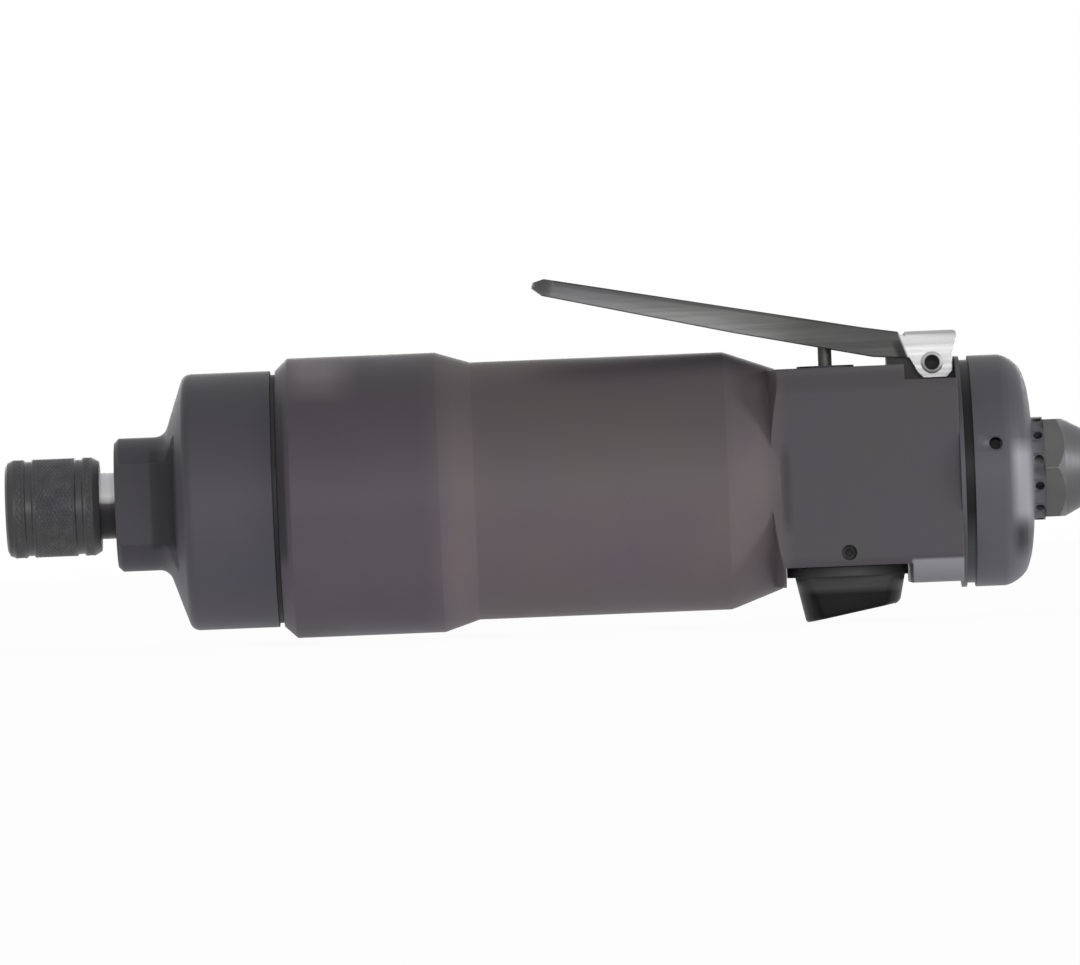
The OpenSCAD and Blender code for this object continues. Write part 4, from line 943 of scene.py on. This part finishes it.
class SCREWDRIVER_OT_wound_springs(Piece, bpy.types.Operator):
    """Winds the chuck, valve and detent springs from round wire"""
    bl_idname = "screwdriver.wound_springs"
    bl_label = "Wound springs"

    def execute(self, context):
        steps = context.scene.screwdriver_sizes.coil_steps
        chuck = self.wind("chuck_spring", 0, 0.55 * MM, 2.5, steps)
        self.follow(chuck, "chuck_spring", "sleeve_slide", 0, 2.8 * MM)
        valve = self.wind("valve_spring", 0, 0.9 * MM, 3.5, steps)
        self.follow(valve, "valve_spring", "valve_tilt", 1, 1.1 * MM)
        self.wind("detent_spring", 1, 0.4 * MM, 4, steps)
        return {"FINISHED"}

    def follow(self, piece, node, joint, fixed_end, travel):
        """Gives a spring its own copy of its mesh"""
        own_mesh(piece)

    def wind(self, node, axis, wire, turns, steps):
        """Winds round wire along an axis, inside the box of a CAD node"""
        low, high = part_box(node)
        middle = (low + high) / 2
        body = NODES[node]["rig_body"]
        along = Vector((0, 0, 0))
        along[axis] = 1
        across = 2 if axis == 0 else 0
        reach = (high[across] - low[across]) / 2 - wire / 2
        out = Vector((0, 0, 0))
        out[across] = 1
        start = middle + out * reach
        start[axis] = low[axis] + wire / 2
        run = high[axis] - low[axis] - wire
        bm = bmesh.new()
        side = along.cross(out)
        frame = Matrix((out, along, side)).transposed().to_4x4()
        bmesh.ops.create_circle(bm, cap_ends=True, segments=10, radius=wire / 2,
                                matrix=Matrix.Translation(start) @ frame)
        count = round(turns * steps)
        bmesh.ops.spin(bm, geom=bm.faces[:], cent=middle, axis=along,
                       dvec=along * (run / count), angle=2 * math.pi * turns, steps=count)
        bmesh.ops.recalc_face_normals(bm, faces=bm.faces[:])
        piece = settle(bm, "wound_" + node, body, node, smooth=60)
        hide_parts(node)
        return piece


class SCREWDRIVER_OT_painted_shells(Piece, bpy.types.Operator):
    """Paints the housing and the hammer case"""
    bl_idname = "screwdriver.painted_shells"
    bl_label = "Painted shells"

    def execute(self, context):
        dress("motor_housing", "hammer_case")
        return {"FINISHED"}


class SCREWDRIVER_OT_domed_cap(Piece, bpy.types.Operator):
    """Smooths the rear cap's dome, as a turned casting has it, and raises its groove's floor"""
    bl_idname = "screwdriver.domed_cap"
    bl_label = "Domed cap"

    def execute(self, context):
        bm = joined_copy("rear_cap")
        dome = [edge for edge in bm.edges if all(
            HANDLE_END + 7.35 * MM < vert.co.x < HANDLE_END + 13.05 * MM
            and math.hypot(vert.co.y, vert.co.z) > 8.95 * MM for vert in edge.verts)]
        bmesh.ops.subdivide_edges(bm, edges=dome, cuts=2, smooth=1.0, use_grid_fill=True)
        deep = CAP_RADIUS - CAP_GROOVE_DEPTH
        floor = [vert for vert in bm.verts
                 if abs(math.hypot(vert.co.y, vert.co.z) - deep) < 0.05 * MM
                 and CAP_GROOVE[0] < vert.co.x < CAP_GROOVE[1]]
        if not floor:
            raise RuntimeError("the cap's groove was not found")
        rise = (CAP_RADIUS - context.scene.screwdriver_sizes.cap_groove) / deep
        bmesh.ops.scale(bm, vec=(1, rise, rise), verts=floor)
        piece = settle(bm, "domed_cap", "housing", "rear_cap", smooth=32)
        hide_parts("rear_cap")
        return {"FINISHED"}


class SCREWDRIVER_OT_riveted_pin(Piece, bpy.types.Operator):
    """Turns the lever's pin, with a rounded head and a dimple at each end"""
    bl_idname = "screwdriver.riveted_pin"
    bl_label = "Riveted pin"

    def execute(self, context):
        low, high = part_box("lever_pin")
        head, end = (high.x - low.x) / 2, high.y
        under = end - 0.3 * MM
        half = [(end - 0.25 * MM, 0), (end - 0.2 * MM, 0.6 * MM), (end - 0.02 * MM, 1.2 * MM),
                (end, 1.35 * MM), (end - 0.03 * MM, head - 0.25 * MM),
                (end - 0.15 * MM, head - 0.04 * MM), (end - 0.22 * MM, head), (under, head),
                (under, 1.5 * MM)]
        outline = half + [(-y, radius) for y, radius in reversed(half)]
        bm = bmesh.new()
        corners = [bm.verts.new((PIN.x + radius, y, PIN.z)) for y, radius in outline]
        edges = [bm.edges.new(pair) for pair in zip(corners, corners[1:])]
        bmesh.ops.spin(bm, geom=corners + edges, cent=PIN, axis=(0, 1, 0), angle=2 * math.pi,
                       steps=48, use_merge=True)
        bmesh.ops.remove_doubles(bm, verts=bm.verts[:], dist=1e-6)
        bmesh.ops.recalc_face_normals(bm, faces=bm.faces[:])
        piece = settle(bm, "riveted_pin", NODES["lever_pin"]["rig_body"], "lever_pin")
        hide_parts("lever_pin")
        return {"FINISHED"}


class SCREWDRIVER_OT_outer_fittings(Piece, bpy.types.Operator):
    """Finishes the anvil, the inlet and the small parts that show outside"""
    bl_idname = "screwdriver.outer_fittings"
    bl_label = "Outer fittings"

    def execute(self, context):
        dress("anvil", "inlet_bushing", "inlet_seal", "inlet_screen", "case_seal",
              "throttle_plunger", "plunger_bushing", "detent_screw", "knob_screw",
              "chuck_ball", "chuck_retainer")
        return {"FINISHED"}


class SCREWDRIVER_OT_inner_parts(Piece, bpy.types.Operator):
    """Finishes the motor, the hammer mechanism and the valves"""
    bl_idname = "screwdriver.inner_parts"
    bl_label = "Inner parts"

    def execute(self, context):
        rest = [name for name, node in NODES.items()
                if not node.hide_render and node.data.materials[0] not in MADE.values()]
        if not rest:
            raise RuntimeError("no inner part is left to finish")
        dress(*rest)
        return {"FINISHED"}


class SCREWDRIVER_PT_panel(bpy.types.Panel):
    """Lists the sizes, the colours and the steps"""
    bl_idname = "SCREWDRIVER_PT_panel"
    bl_label = "Screwdriver"
    bl_space_type = "VIEW_3D"
    bl_region_type = "UI"
    bl_category = "Screwdriver"

    def draw(self, context):
        layout = self.layout
        for operator in OPERATORS:
            layout.operator(operator.bl_idname)
        for group in (context.scene.screwdriver_sizes, context.scene.screwdriver_colours,
                      context.scene.screwdriver_studio):
            box = layout.box()
            for name in group.__annotations__:
                box.prop(group, name)


OPERATORS = (SCREWDRIVER_OT_studio, SCREWDRIVER_OT_painted_shells, SCREWDRIVER_OT_domed_cap,
             SCREWDRIVER_OT_knurled_sleeve, SCREWDRIVER_OT_pressed_lever,
             SCREWDRIVER_OT_riveted_pin, SCREWDRIVER_OT_moulded_knob,
             SCREWDRIVER_OT_outer_fittings, SCREWDRIVER_OT_inlet_thread,
             SCREWDRIVER_OT_wound_springs, SCREWDRIVER_OT_inner_parts)
GROUP_TYPES = {"screwdriver_sizes": ScrewdriverSizes, "screwdriver_colours": ScrewdriverColours,
               "screwdriver_studio": ScrewdriverStudio}


def register():
    for kind in (*GROUP_TYPES.values(), *OPERATORS, SCREWDRIVER_PT_panel):
        bpy.utils.register_class(kind)
    for name, kind in GROUP_TYPES.items():
        setattr(bpy.types.Scene, name, PointerProperty(type=kind))


def unregister():
    for name in GROUP_TYPES:
        delattr(bpy.types.Scene, name)
    for kind in (SCREWDRIVER_PT_panel, *reversed(OPERATORS), *reversed(GROUP_TYPES.values())):
        bpy.utils.unregister_class(kind)


def main():
    register()
    for operator in OPERATORS:
        getattr(bpy.ops.screwdriver, operator.bl_idname.split(".")[1])()


if __name__ == "__main__":
    main()
